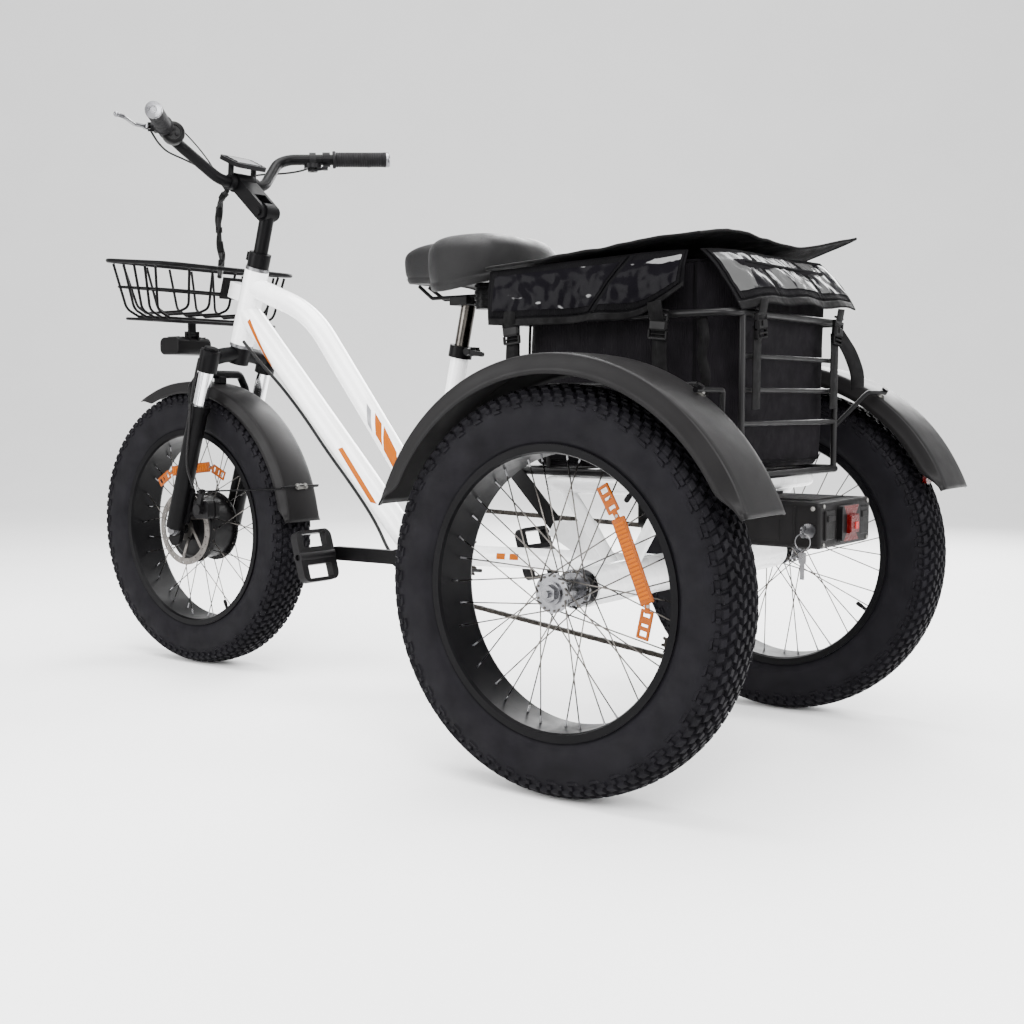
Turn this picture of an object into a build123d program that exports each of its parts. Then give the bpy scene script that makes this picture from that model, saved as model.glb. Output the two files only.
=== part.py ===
from build123d import *
import os
from math import asin, atan2, ceil, cos, degrees, hypot, pi, radians, sin, sqrt, tan

os.makedirs("parts", exist_ok=True)

# An adult cargo tricycle with fat tyres, a front hub motor, a sprung fork and a bag on a rear rack.
# Lengths are millimetres. X runs forward from the rear axle, Y to the rider's left and Z up from the
# ground; each part is moved by ROW_X when it is written, which centres the whole machine on X = 0.

# ---------------------------------------------------------------- driving dimensions
ROW_X = -598.3
WHEELBASE = 1220.0
TRACK = 727.0
WHEEL_R = 300.0
TYRE_HALF_W = 48.5
RIM_HALF_W = 41.0
RIM_FLANGE_R = 214.0
RIM_INNER_R = 200.5
SPOKES = 36
SPOKE_R = 1.1
NIPPLE_R = 2.2

HEAD_ANGLE = 71.5
HEAD_Z = (698.0, 848.0)
HEAD_TUBE_R = 25.0
STEERER_R = 14.3
FORK_TRAVEL = 40.0
LEG_Y = 80.0
STANCHION_R = 15.0

BB = (574.0, 282.0)
SEAT_ANGLE = 77.2
SEAT_TUBE_TOP_Z = 668.0
SEAT_POST_R = 13.6
CRANK = 165.0
CRANK_Y = 76.0
CHAIN_Y = -45.0
CHAIN_PITCH = 12.7
RING_TEETH = 44
COG_TEETH = (28, 24, 22, 20, 18, 16, 14)

AXLE_R = 8.5
HOUSING_R = 30.0
HOUSING_BORE = 27.0
HOUSING_END_Y = 312.0
HUB_FLANGE_Y = 27.0

RACK_REAR_X, RACK_FRONT_X, RACK_Y = -180.0, 232.0, 190.0
RACK_FLOOR_Z, RACK_TOP_Z = 462.0, 704.0
RAIL_R = 6.0
BAG_TOP_Z = 788.0

FENDER_AXIS = (-8.0, 306.0)
FENDER_R = 338.0
FENDER_HALF_W = 60.0

RUNNING = 0.05      # radial clearance of a turning or sliding fit
GAP = 0.5           # clearance between pieces that only stand near each other


# ---------------------------------------------------------------- helpers
def save(name, *solids):
    """Writes one node, moved into the row frame."""
    shape = solids[0] if len(solids) == 1 else Compound(children=list(solids))
    export_step(Pos(ROW_X, 0, 0) * shape, f"parts/{name}.step")


def rod(a, b, r):
    """A round bar from point a to point b."""
    a, b = Vector(*a), Vector(*b)
    bar = Cylinder(r, (b - a).length, align=(Align.CENTER, Align.CENTER, Align.MIN))
    return Plane(origin=a, z_dir=b - a) * bar


def tube(a, b, r_out, r_in):
    """A straight hollow bar."""
    return rod(a, b, r_out) - rod(a, b, r_in)


def cross_rod(x, z, y0, y1, r):
    """A bar that runs across the machine."""
    return rod((x, y0, z), (x, y1, z), r)


def cross_ring(x, z, y0, y1, r_out, r_in):
    return tube((x, y0, z), (x, y1, z), r_out, r_in)


def wire(points, r, bend, close=False):
    """A round bar bent along a polyline with rounded corners."""
    path = FilletPolyline(*points, radius=bend, close=close)
    section = Plane(origin=path @ 0, z_dir=path % 0) * Circle(r)
    return sweep(section, path=path)


def block(x0, x1, y0, y1, z0, z1):
    """A box between two corners."""
    return Pos((x0 + x1) / 2, (y0 + y1) / 2, (z0 + z1) / 2) * Box(x1 - x0, y1 - y0, z1 - z0)


def plate_xz(points, y0, y1):
    """A flat plate that stands in the X-Z plane, from y0 to y1."""
    face = make_face(Polyline(*[(x, y0, z) for x, z in points], close=True))
    return extrude(face, amount=y1 - y0, dir=(0, 1, 0))


def bar_xz(a, b, half_w, y0, y1):
    """A flat bar with round ends between two (x, z) points."""
    length = hypot(b[0] - a[0], b[1] - a[1])
    angle = degrees(atan2(b[1] - a[1], b[0] - a[0]))
    flat = Pos(length / 2, 0) * Rectangle(length, 2 * half_w)
    flat += Circle(half_w) + Pos(length, 0) * Circle(half_w)
    lengthwise = (cos(radians(angle)), 0, sin(radians(angle)))
    plane = Plane(origin=(a[0], y0, a[1]), x_dir=lengthwise, z_dir=(0, 1, 0))
    return extrude(plane * flat, amount=y1 - y0)


def lathe(edges, x, y, z, start=0.0, arc=360.0):
    """Turns a profile of (radius, offset) edges about a cross axis through (x, y, z)."""
    out = (cos(radians(start)), 0, sin(radians(start)))
    plane = Plane(origin=(x, y, z), x_dir=out, z_dir=(out[2], 0, -out[0]))
    face = plane * make_face(edges)
    return revolve(face, axis=Axis((x, y, z), (0, -1, 0)), revolution_arc=arc)


def span(side, a, b):
    """The interval from a to b on one side of the machine, in rising order."""
    return min(side * a, side * b), max(side * a, side * b)


def ring_path(x0, x1, half_y, z0, z1):
    """The four corners of a level or tilted loop: z0 is its height at x0 and z1 at x1."""
    return [(x0, half_y, z0), (x1, half_y, z1), (x1, -half_y, z1), (x0, -half_y, z0)]


def mirror_y(shape):
    return mirror(shape, about=Plane.XZ)


def hexagon(x, z, y, outward, r, height):
    """A hexagon head on the cross axis, rising from y outward (+1 or -1)."""
    return extrude(Plane(origin=(x, y, z), z_dir=(0, outward, 0)) * RegularPolygon(r, 6), amount=height)


def cord(name, points, d):
    """A cable's tube: straight runs joined by arcs as large as the runs allow."""
    pts = [Vector(*p) for p in points]
    runs = [(b - a).length for a, b in zip(pts, pts[1:])]
    here = pts[0]
    edges = []
    length = 0.0
    radii = []
    for i in range(1, len(pts) - 1):
        u_in = (pts[i] - pts[i - 1]).normalized()
        u_out = (pts[i + 1] - pts[i]).normalized()
        turn = radians(u_in.get_angle(u_out))
        r = 0.45 * min(runs[i - 1], runs[i]) / tan(turn / 2)
        cut = r * tan(turn / 2)
        a, b = pts[i] - u_in * cut, pts[i] + u_out * cut
        edges.append(Line(here, a))
        mid = pts[i] + (u_out - u_in).normalized() * (r / cos(turn / 2) - r)
        edges.append(ThreePointArc(a, mid, b))
        length += (a - here).length + r * turn
        radii.append(round(r))
        here = b
    edges.append(Line(here, pts[-1]))
    length += (pts[-1] - here).length
    path = Wire(edges)
    section = Plane(origin=path @ 0, z_dir=path % 0) * Circle(d / 2)
    solid = sweep(section, path=path)
    expected = pi * d * d / 4 * length
    print(name, "length", round(length), "radii", radii, "volume ratio", round(solid.volume / expected, 4))
    return solid


# ---------------------------------------------------------------- steering axis
S = Vector(-cos(radians(HEAD_ANGLE)), 0, sin(radians(HEAD_ANGLE)))     # up the steering axis
F = Vector(sin(radians(HEAD_ANGLE)), 0, cos(radians(HEAD_ANGLE)))      # square to it, forward


def on_axis(z, ahead=0.0, y=0.0):
    """A point of the steering axis at height z, moved ahead square to the axis and sideways."""
    base = Vector(WHEELBASE - (z - WHEEL_R) / tan(radians(HEAD_ANGLE)), y, z)
    p = base + F * ahead
    return (p.X, p.Y, p.Z)


def along(up, ahead=0.0, y=0.0):
    """A point given by its distance up the steering axis from the front axle."""
    p = Vector(WHEELBASE, y, WHEEL_R) + S * up + F * ahead
    return (p.X, p.Y, p.Z)


# ---------------------------------------------------------------- wheels
def tyre(x, y):
    """A hollow fat tyre; its straight beads stand inside the rim's flanges."""
    bead_y, bead_r = RIM_HALF_W - 3.3, RIM_FLANGE_R - 7.5
    lip_r = RIM_FLANGE_R + 1.2
    side_r, shoulder_r, shoulder_y = 255.0, 287.0, 43.0
    wall, crown = 4.5, 9.0
    bead, lip = (bead_r, bead_y), (lip_r, bead_y)
    side, shoulder = (side_r, TYRE_HALF_W), (shoulder_r, shoulder_y)
    in_bead, in_lip = (bead_r, bead_y - 6), (lip_r, bead_y - 6)
    in_side, in_shoulder = (side_r, TYRE_HALF_W - wall), (shoulder_r - wall, shoulder_y - wall)

    def other(point):
        return (point[0], -point[1])

    edges = [
        Line(bead, lip),
        ThreePointArc(lip, side, shoulder),
        ThreePointArc(shoulder, (WHEEL_R, 0), other(shoulder)),
        ThreePointArc(other(shoulder), other(side), other(lip)),
        Line(other(lip), other(bead)),
        Line(other(bead), other(in_bead)),
        Line(other(in_bead), other(in_lip)),
        ThreePointArc(other(in_lip), other(in_side), other(in_shoulder)),
        ThreePointArc(other(in_shoulder), (WHEEL_R - crown, 0), in_shoulder),
        ThreePointArc(in_shoulder, in_side, in_lip),
        Line(in_lip, in_bead),
        Line(in_bead, bead),
    ]
    return lathe(edges, x, y, WHEEL_R)


def rim(x, y):
    """A wide single-wall rim with a shallow well."""
    lip, seat_r, well_r = 2.7, RIM_FLANGE_R - 8.0, RIM_FLANGE_R - 10.5
    half = [(RIM_INNER_R, RIM_HALF_W - 5), (RIM_INNER_R + 2.5, RIM_HALF_W), (RIM_FLANGE_R, RIM_HALF_W),
            (RIM_FLANGE_R, RIM_HALF_W - lip), (seat_r, RIM_HALF_W - lip), (seat_r, 14), (well_r, 10)]
    points = half + [(r, -w) for r, w in reversed(half)]
    return lathe(Polyline(*points, close=True), x, y, WHEEL_R)


def spoke_set(x, y, flange_ys, flange_r, crosses, flange_t):
    """Laced spokes with nipples: alternate heads lie outside and inside each flange."""
    per_side = SPOKES // 2
    step = 2 * pi / per_side
    solids = []
    for side, flange_y in enumerate(flange_ys):
        outward = 1 if flange_y > 0 else -1
        for i in range(per_side):
            lean = 1 if i % 2 == 0 else -1
            hub_a = step * (i + 0.5 * side)
            rim_a = hub_a + lean * step * crosses + lean * step * 0.25
            head_y = flange_y + outward * lean * (flange_t / 2 + SPOKE_R + 0.6)
            p = Vector(x + flange_r * cos(hub_a), y + head_y, WHEEL_R + flange_r * sin(hub_a))
            end_r = RIM_INNER_R - 0.3
            q = Vector(x + end_r * cos(rim_a), y + outward * 7.0, WHEEL_R + end_r * sin(rim_a))
            u = (p - q).normalized()
            nipple = rod(tuple(q), tuple(q + u * 12), NIPPLE_R)
            solids.append(rod(tuple(p), tuple(q + u * 11), SPOKE_R) + nipple)
    return solids


def reflector(x, y, clear_r, tilt):
    """A bar reflector that clips on two spokes, in the plane of the spokes on the outer side."""
    a = Vector(x, y, WHEEL_R)
    bar = Rot(0, -tilt, 0) * (Pos(clear_r, 0, 0) * Box(13, 4, 92))
    return Pos(a.X, a.Y, a.Z) * bar


def drilled_flange(x, y, r_out, r_in, t, holes, hole_r, ring_r):
    """A hub flange or brake disc with a ring of holes."""
    disc = cross_ring(x, WHEEL_R, y - t / 2, y + t / 2, r_out, r_in)
    for i in range(holes):
        a = 2 * pi * i / holes
        disc -= cross_rod(x + ring_r * cos(a), WHEEL_R + ring_r * sin(a), y - t, y + t, hole_r)
    return disc


def rear_hub(side):
    """Hub shell, two drilled flanges, half shaft and outer nut of one rear wheel, as one turning piece."""
    y = side * TRACK / 2
    inner_end = side * 2.0
    shell = cross_rod(0, WHEEL_R, y - 33, y + 33, 17)
    shaft = cross_rod(0, WHEEL_R, inner_end, side * 402, AXLE_R)
    stub = cross_rod(0, WHEEL_R, side * 396, side * 410, 5.5)
    nut = hexagon(0, WHEEL_R, y + side * 33, side, 13, 7)
    part = shell + shaft + stub + nut
    for dy in (-HUB_FLANGE_Y, HUB_FLANGE_Y):
        part += drilled_flange(0, y + dy, 29, 16, 4, SPOKES // 2, 1.6, 25.5)
    return part


for label, side in (("rear_left", 1), ("rear_right", -1)):
    wheel_y = side * TRACK / 2
    save(f"{label}_tyre", tyre(0, wheel_y))
    save(f"{label}_rim", rim(0, wheel_y))
    laced = spoke_set(0, wheel_y, (HUB_FLANGE_Y, -HUB_FLANGE_Y), 25.5, 3, 4)
    laced.append(reflector(0, wheel_y + side * 26, 118, 22))
    save(f"{label}_spokes", *laced)
    save(f"{label}_hub", rear_hub(side))

# Front wheel: a hub motor with its own spoke flanges and the brake disc on its left
MOTOR_R = 68.0
MOTOR_FLANGE_R = 76.0
ROTOR_Y = 53.0
save("front_tyre", tyre(WHEELBASE, 0))
save("front_rim", rim(WHEELBASE, 0))
front_laced = spoke_set(WHEELBASE, 0, (30, -30), MOTOR_FLANGE_R - 4, 1, 4)
front_laced.append(reflector(WHEELBASE, 20, 135, 105))
save("front_spokes", *front_laced)

motor = cross_rod(WHEELBASE, WHEEL_R, -40, 36, MOTOR_R)
motor = fillet(motor.edges().filter_by(GeomType.CIRCLE), 8)
motor += cross_rod(WHEELBASE, WHEEL_R, 35, ROTOR_Y - 1, 27)
motor += cross_rod(WHEELBASE, WHEEL_R, -52, -39, 27)
for flange_y in (30, -30):
    motor += drilled_flange(WHEELBASE, flange_y, MOTOR_FLANGE_R, MOTOR_R - 12, 4,
                            SPOKES // 2, 1.6, MOTOR_FLANGE_R - 4)
motor -= cross_rod(WHEELBASE, WHEEL_R, -60, 60, 6 + RUNNING)
save("hub_motor", motor)


def brake_disc(x, y, r_out):
    """A steel disc: a drilled outer band on six curved spokes."""
    t = 2.0
    disc = cross_ring(x, WHEEL_R, y - t / 2, y + t / 2, r_out, r_out - 14)
    disc += cross_ring(x, WHEEL_R, y - t / 2, y + t / 2, 27, 12)
    for i in range(6):
        a, b = 2 * pi * i / 6, 2 * pi * (i + 0.62) / 6
        inner = (x + 25 * cos(a), WHEEL_R + 25 * sin(a))
        outer = (x + (r_out - 12) * cos(b), WHEEL_R + (r_out - 12) * sin(b))
        disc += bar_xz(inner, outer, 3.5, y - t / 2, y + t / 2)
    for i in range(30):
        a = 2 * pi * i / 30
        ring = r_out - 4.5 if i % 2 else r_out - 9.5
        disc -= cross_rod(x + ring * cos(a), WHEEL_R + ring * sin(a), y - t, y + t, 1.8)
    return disc


ROTOR_R = 80.0
save("brake_rotor", brake_disc(WHEELBASE, ROTOR_Y, ROTOR_R))

# ---------------------------------------------------------------- fork
CROWN_UP = 356.0        # underside of the crown, up the axis from the front axle
CROWN_TOP_UP = 398.0
LOWER_TOP_UP = 282.0    # top of the lower legs
DROPOUT_UP = -16.0


def stanchion_space(side, low, high, clearance):
    """The room one stanchion takes between two heights up the steering axis."""
    return rod(along(low, 0, side * LEG_Y), along(high, 0, side * LEG_Y), STANCHION_R + clearance)


def fork_crown():
    """The arched crown with a cap on each leg and the steerer tube."""
    steerer = tube(along(CROWN_TOP_UP + 8), on_axis(872), STEERER_R, STEERER_R - 2.5)
    base = rod(along(CROWN_TOP_UP - 22), along(CROWN_TOP_UP + 18), 22)
    part = base
    for side in (1, -1):
        part += rod(along(CROWN_UP, 0, side * LEG_Y), along(CROWN_UP + 46, 0, side * LEG_Y), 21)
        part += rod(along(CROWN_UP + 45, 0, side * LEG_Y), along(CROWN_UP + 52, 0, side * LEG_Y), 14)
        part += wire([along(CROWN_UP + 26, 0, side * (LEG_Y + 4)), along(CROWN_TOP_UP - 6, 0, side * 44),
                      along(CROWN_TOP_UP, 0, 0)], 16, 30)
        part -= stanchion_space(side, CROWN_UP - 1, CROWN_UP + 40, 0)
    part -= rod(along(CROWN_TOP_UP + 14.2), along(CROWN_TOP_UP + 60), 40)
    part -= rod(along(CROWN_TOP_UP - 60), on_axis(900), STEERER_R - 2.5)
    return part + steerer


save("fork_crown", fork_crown())

stanchions = []
for side in (1, -1):
    stanchions.append(tube(along(150, 0, side * LEG_Y), along(CROWN_UP + 40, 0, side * LEG_Y),
                           STANCHION_R, STANCHION_R - 2.5))
save("fork_stanchions", *stanchions)


def fork_lowers():
    """Two legs with dropouts, joined by the squared arch ahead of the tubes."""
    part = None
    for side in (1, -1):
        leg = rod(along(4, 0, side * LEG_Y), along(LOWER_TOP_UP, 0, side * LEG_Y), 20)
        leg += rod(along(LOWER_TOP_UP - 14, 0, side * LEG_Y), along(LOWER_TOP_UP, 0, side * LEG_Y), 22.5)
        a, b = along(DROPOUT_UP - 6, 2), along(34, 0)
        leg += bar_xz((a[0], a[2]), (b[0], b[2]), 17, *span(side, LEG_Y - 14, LEG_Y - 4))
        leg -= stanchion_space(side, 60, LOWER_TOP_UP + 1, RUNNING)
        leg -= cross_rod(WHEELBASE, WHEEL_R, -100, 100, 6)
        part = leg if part is None else part + leg
    arch_points = [along(LOWER_TOP_UP - 24, 18, LEG_Y), along(LOWER_TOP_UP + 26, 42, LEG_Y - 6),
                   along(LOWER_TOP_UP + 54, 46, LEG_Y - 26), along(LOWER_TOP_UP + 54, 46, 26 - LEG_Y),
                   along(LOWER_TOP_UP + 26, 42, 6 - LEG_Y), along(LOWER_TOP_UP - 24, 18, -LEG_Y)]
    arch = wire(arch_points, 8.5, 14)
    for side in (1, -1):
        arch -= stanchion_space(side, 60, LOWER_TOP_UP + 1, RUNNING)
    # the post that carries the brake caliper behind the left leg
    a, b = along(28, -18), along(92, -18)
    return part + arch + bar_xz((a[0], a[2]), (b[0], b[2]), 10, LEG_Y - 12, LEG_Y - 4)


save("fork_lowers", fork_lowers())

axle = cross_rod(WHEELBASE, WHEEL_R, -92, 92, 6)
for side in (1, -1):
    axle += hexagon(WHEELBASE, WHEEL_R, side * (LEG_Y + 4), side, 12, 8)
    axle += cross_rod(WHEELBASE, WHEEL_R, *span(side, LEG_Y - 3.5, LEG_Y + 4), 14)
lower_legs_cut = fork_lowers()
save("front_axle", axle - lower_legs_cut)

# Brake caliper: a body that straddles the disc behind the left leg
cal_c = Vector(*along(66, -58))
caliper = block(cal_c.X - 24, cal_c.X + 22, ROTOR_Y - 12, ROTOR_Y + 20, cal_c.Z - 18, cal_c.Z + 20)
caliper = fillet(caliper.edges().filter_by(Axis.Y), 7)
caliper -= cross_ring(WHEELBASE, WHEEL_R, ROTOR_Y - 1.7, ROTOR_Y + 1.7, ROTOR_R + 60, 1)
caliper += cross_rod(cal_c.X - 2, cal_c.Z + 2, ROTOR_Y + 20, ROTOR_Y + 33, 11)
caliper += bar_xz((cal_c.X - 2, cal_c.Z + 2), (cal_c.X - 14, cal_c.Z + 40), 6, ROTOR_Y + 24, ROTOR_Y + 30)
caliper += cross_rod(cal_c.X - 14, cal_c.Z + 40, ROTOR_Y + 20, ROTOR_Y + 34, 4.5)
save("brake_caliper", caliper - lower_legs_cut)


def fender_profile(r, half_w, drop, t):
    """Cross section of a mudguard as (radius, offset) edges: a flat crown with turned-down sides."""
    top, knee, low = half_w - 14, r - 16, r - drop
    outer = [(low, -half_w - 2), (knee, -half_w), (r, -top), (r, top), (knee, half_w), (low, half_w + 2)]
    inner = [(low, half_w + 2 - t), (knee, half_w - t), (r - t, top - 1), (r - t, 1 - top), (knee, t - half_w),
             (low, t - 2 - half_w)]
    bulge = 4.2
    return [
        Line(outer[0], outer[1]),
        ThreePointArc(outer[1], (r - bulge, -half_w + bulge), outer[2]),
        Line(outer[2], outer[3]),
        ThreePointArc(outer[3], (r - bulge, half_w - bulge), outer[4]),
        Line(outer[4], outer[5]),
        Line(outer[5], inner[0]),
        Line(inner[0], inner[1]),
        ThreePointArc(inner[1], (r - t - bulge, half_w - t - bulge), inner[2]),
        Line(inner[2], inner[3]),
        ThreePointArc(inner[3], (r - t - bulge, t + bulge - half_w), inner[4]),
        Line(inner[4], inner[5]),
        Line(inner[5], outer[0]),
    ]


FRONT_FENDER_R = 320.0
front_fender = lathe(fender_profile(FRONT_FENDER_R, 50, 22, 2.5), WHEELBASE, 0, WHEEL_R, 62, 113)
STAY_ANGLE = radians(162)
STAY_R = FRONT_FENDER_R + 2.5
stay_end = (WHEELBASE + STAY_R * cos(STAY_ANGLE), WHEEL_R + STAY_R * sin(STAY_ANGLE))
stay_root = along(96, -26)
stay = wire([(stay_root[0], LEG_Y - 16, stay_root[2]), (stay_end[0] + 30, 57.5, stay_end[1] - 4),
             (stay_end[0], 56, stay_end[1]), (stay_end[0], -56, stay_end[1]),
             (stay_end[0] + 30, -57.5, stay_end[1] - 4), (stay_root[0], 16 - LEG_Y, stay_root[2])], 1.8, 4)
tab = block(1147, 1168, -11, 11, 612, 630)
save("front_fender", front_fender, stay - front_fender - lower_legs_cut, tab - front_fender - lower_legs_cut)

# ---------------------------------------------------------------- frame
SEAT_DIR = Vector(-cos(radians(SEAT_ANGLE)), 0, sin(radians(SEAT_ANGLE)))


def on_seat(z):
    """A point of the seat tube's axis at height z."""
    p = Vector(BB[0], 0, BB[1]) + SEAT_DIR * ((z - BB[1]) / SEAT_DIR.Z)
    return (p.X, 0, p.Z)


LOOP_Z = 443.0
LOOP_R = 12.0
LOOP_X = (-128.0, 150.0)
LOOP_Y = 206.0
TOP_TUBE = [on_axis(815), (878, 0, 753), on_seat(356)]
DOWN_TUBE = [on_axis(763), (588, 0, 274)]
BOOM = [(BB[0], 0, BB[1] + 2), (0, 0, WHEEL_R)]
HOUSING_GAP = (-88.0, -22.0)
PLATE_Y = 203.0
BOSS_Z, BOSS_START, BOSS_LENGTH = 795.0, 20.0, 38.0


def frame():
    """The welded frame: main tubes, boom, axle housing and the loop that carries the rack."""
    body = rod(on_axis(HEAD_Z[0]), on_axis(HEAD_Z[1]), HEAD_TUBE_R)
    body += wire(TOP_TUBE, 22, 240)
    body += rod(*DOWN_TUBE, 25)
    body += rod(on_seat(BB[1]), on_seat(SEAT_TUBE_TOP_Z), 17)
    body += cross_rod(BB[0], BB[1], -34, 34, 24)
    body += rod(*BOOM, 19)
    body += cross_rod(0, WHEEL_R, HOUSING_GAP[1], HOUSING_END_Y, HOUSING_R)
    body += cross_rod(0, WHEEL_R, -HOUSING_END_Y, HOUSING_GAP[0], HOUSING_R)
    # the boss that carries the front basket
    boss_plane = Plane(origin=on_axis(BOSS_Z, BOSS_START), x_dir=(0, 1, 0), z_dir=tuple(F))
    body += boss_plane * Box(26, 34, BOSS_LENGTH, align=(Align.CENTER, Align.CENTER, Align.MIN))
    # the carriage that carries the rack
    body += wire(ring_path(LOOP_X[0], LOOP_X[1], LOOP_Y, LOOP_Z, LOOP_Z), LOOP_R, 38, close=True)
    for side in (1, -1):
        y = side * LOOP_Y
        for x_top, x_low in ((LOOP_X[1] - 42, 14), (LOOP_X[0] + 42, -14)):
            body += rod((x_top, y, LOOP_Z), (x_low, y, WHEEL_R + 18), 11)
        gusset = [(10, WHEEL_R + 24), (70, WHEEL_R + 26), (140, WHEEL_R + 62), (128, WHEEL_R + 84),
                  (52, WHEEL_R + 88)]
        body += plate_xz(gusset, side * PLATE_Y - 2.5, side * PLATE_Y + 2.5)
    for y in HOUSING_GAP:
        spine = [(-22, WHEEL_R + 16), (22, WHEEL_R + 16), (LOOP_X[1] - 8, LOOP_Z - 20),
                 (LOOP_X[1] + 2, LOOP_Z + 3), (LOOP_X[1] - 26, LOOP_Z + 3), (-18, WHEEL_R + 40)]
        body += plate_xz(spine, y - 2.8, y + 2.8)
    body += plate_xz([(-16, WHEEL_R - 22), (16, WHEEL_R - 22), (26, WHEEL_R - 52), (8, WHEEL_R - 58)],
                     HOUSING_GAP[0] - 5.2, HOUSING_GAP[0] + 1.2)
    # hollow tubes, closed at their welded ends
    body -= wire([inside_end(TOP_TUBE, 30), TOP_TUBE[1], inside_end(TOP_TUBE[::-1], 26)], 20.2, 240)
    body -= rod(inside_end(DOWN_TUBE, 32), inside_end(DOWN_TUBE[::-1], 34), 23)
    body -= rod(inside_end(BOOM, 30), inside_end(BOOM[::-1], 36), 16.8)
    body -= rod(on_axis(HEAD_Z[0] - 5), on_axis(HEAD_Z[1] + 5), 17)
    body -= rod(on_axis(HEAD_Z[0] + 16), on_axis(HEAD_Z[1] - 16), 21)
    body -= rod(on_seat(BB[1] + 34), on_seat(SEAT_TUBE_TOP_Z + 5), SEAT_POST_R + RUNNING)
    body -= cross_rod(BB[0], BB[1], -35, 35, 17)
    body -= cross_rod(0, WHEEL_R, -HOUSING_END_Y - 1, HOUSING_END_Y + 1, HOUSING_BORE)
    return body


def inside_end(points, back):
    """The point a given distance along the first run of a polyline."""
    a, b = Vector(*points[0]), Vector(*points[1])
    p = a + (b - a).normalized() * back
    return (p.X, p.Y, p.Z)


save("frame", frame())

# Bearings: headset cups, bottom bracket cups and the shaft bearings in the housing
bearings = []
for z, flare, outward in ((HEAD_Z[1], 24.5, 1), (HEAD_Z[0], 24.5, -1)):
    mid = Vector(*on_axis(z))
    inside, outside = mid - S * outward * 14, mid + S * outward * 7
    bearings.append(tube(tuple(inside), tuple(mid), 17, STEERER_R + RUNNING)
                    + tube(tuple(mid), tuple(outside), flare, STEERER_R + RUNNING))
for side in (1, -1):
    cup = cross_ring(BB[0], BB[1], *span(side, 20, 34), 17, AXLE_R + RUNNING)
    bearings.append(cup + cross_ring(BB[0], BB[1], *span(side, 34, 39), 21, AXLE_R + RUNNING))
for y0, y1 in ((-18, -6), (4, 16), (300, 312), (-100, -90), (-312, -300)):
    bearings.append(cross_ring(0, WHEEL_R, y0, y1, HOUSING_BORE, AXLE_R + RUNNING))
save("bearings", *bearings)

# ---------------------------------------------------------------- stem and handlebar
PIVOT_Z = 963.0
PIVOT = on_axis(PIVOT_Z, 6)
CLAMP = (1078.0, 1031.0)
BAR_R = 11.5
TONGUE = 15.2


def stem_post():
    """The clamp collar on the steerer and the post up to the pivot."""
    low = Vector(*on_axis(HEAD_Z[1])) + S * 7.5
    part = rod(tuple(low), tuple(low + S * 30), 23)
    part += rod(tuple(low + S * 28), on_axis(PIVOT_Z - 6, 3), 15)
    part += cross_rod(PIVOT[0], PIVOT[2], -TONGUE, TONGUE, 19)
    ear_plane = Plane(origin=tuple(low + S * 6), x_dir=(0, 1, 0), z_dir=tuple(S))
    part += ear_plane * (Pos(0, -26, 10) * Box(14, 14, 18))
    part -= rod(on_axis(HEAD_Z[1] - 5), on_axis(874), STEERER_R)
    part -= cross_rod(PIVOT[0], PIVOT[2], -30, 30, 4 + RUNNING)
    return part


save("stem_post", stem_post())


def stem_arm():
    """Two cheeks on the pivot, the arm and the clamp around the handlebar."""
    part = bar_xz((PIVOT[0], PIVOT[2]), (CLAMP[0], CLAMP[1]), 15, -23, 23)
    part += cross_rod(CLAMP[0], CLAMP[1], -23, 23, 20)
    slot = bar_xz((PIVOT[0] - 60, PIVOT[2] - 30), (PIVOT[0] + 14, PIVOT[2] + 6), 34, -15.6, 15.6)
    part -= slot
    for side in (1, -1):
        part += hexagon(PIVOT[0], PIVOT[2], side * 23, side, 8, 4.5)
    part += cross_rod(PIVOT[0], PIVOT[2], -22, 22, 4)
    part -= cross_rod(CLAMP[0], CLAMP[1], -30, 30, BAR_R)
    return part


save("stem_arm", stem_arm())

BAR_CORNER = (1120.0, 148.0, 1106.0)
BAR_END = (960.0, 318.0, 1113.0)


def bar_points(y_sign):
    return [(CLAMP[0], y_sign * 60, CLAMP[1]), (BAR_CORNER[0], y_sign * BAR_CORNER[1], BAR_CORNER[2]),
            (BAR_END[0], y_sign * BAR_END[1], BAR_END[2])]


bar_path = list(reversed(bar_points(1))) + bar_points(-1)
save("handlebar", wire(bar_path, BAR_R, 48))


def bar_frame(side):
    """Origin at the upper corner of one side of the bar, with the outward and forward directions."""
    corner = Vector(BAR_CORNER[0], side * BAR_CORNER[1], BAR_CORNER[2])
    end = Vector(BAR_END[0], side * BAR_END[1], BAR_END[2])
    out = (end - corner).normalized()
    ahead = Vector(-out.Y * side, out.X * side, 0).normalized() * -1
    return corner, end, out, ahead, (end - corner).length


def bar_spot(side, dist, ahead_by=0.0, up=0.0):
    corner, end, out, ahead, length = bar_frame(side)
    p = corner + out * dist + ahead * ahead_by + Vector(0, 0, up)
    return (p.X, p.Y, p.Z)


BAR_LEN = bar_frame(1)[4]
GRIP_FROM = BAR_LEN - 118
grips = []
for side in (1, -1):
    grip = rod(bar_spot(side, GRIP_FROM), bar_spot(side, BAR_LEN), 16)
    grip += rod(bar_spot(side, GRIP_FROM), bar_spot(side, GRIP_FROM + 6), 18)
    grip += rod(bar_spot(side, BAR_LEN), bar_spot(side, BAR_LEN + 9), 15)
    grip -= rod(bar_spot(side, GRIP_FROM - 1), bar_spot(side, BAR_LEN), BAR_R)
    grips.append(grip)
save("grips", *grips)

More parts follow.
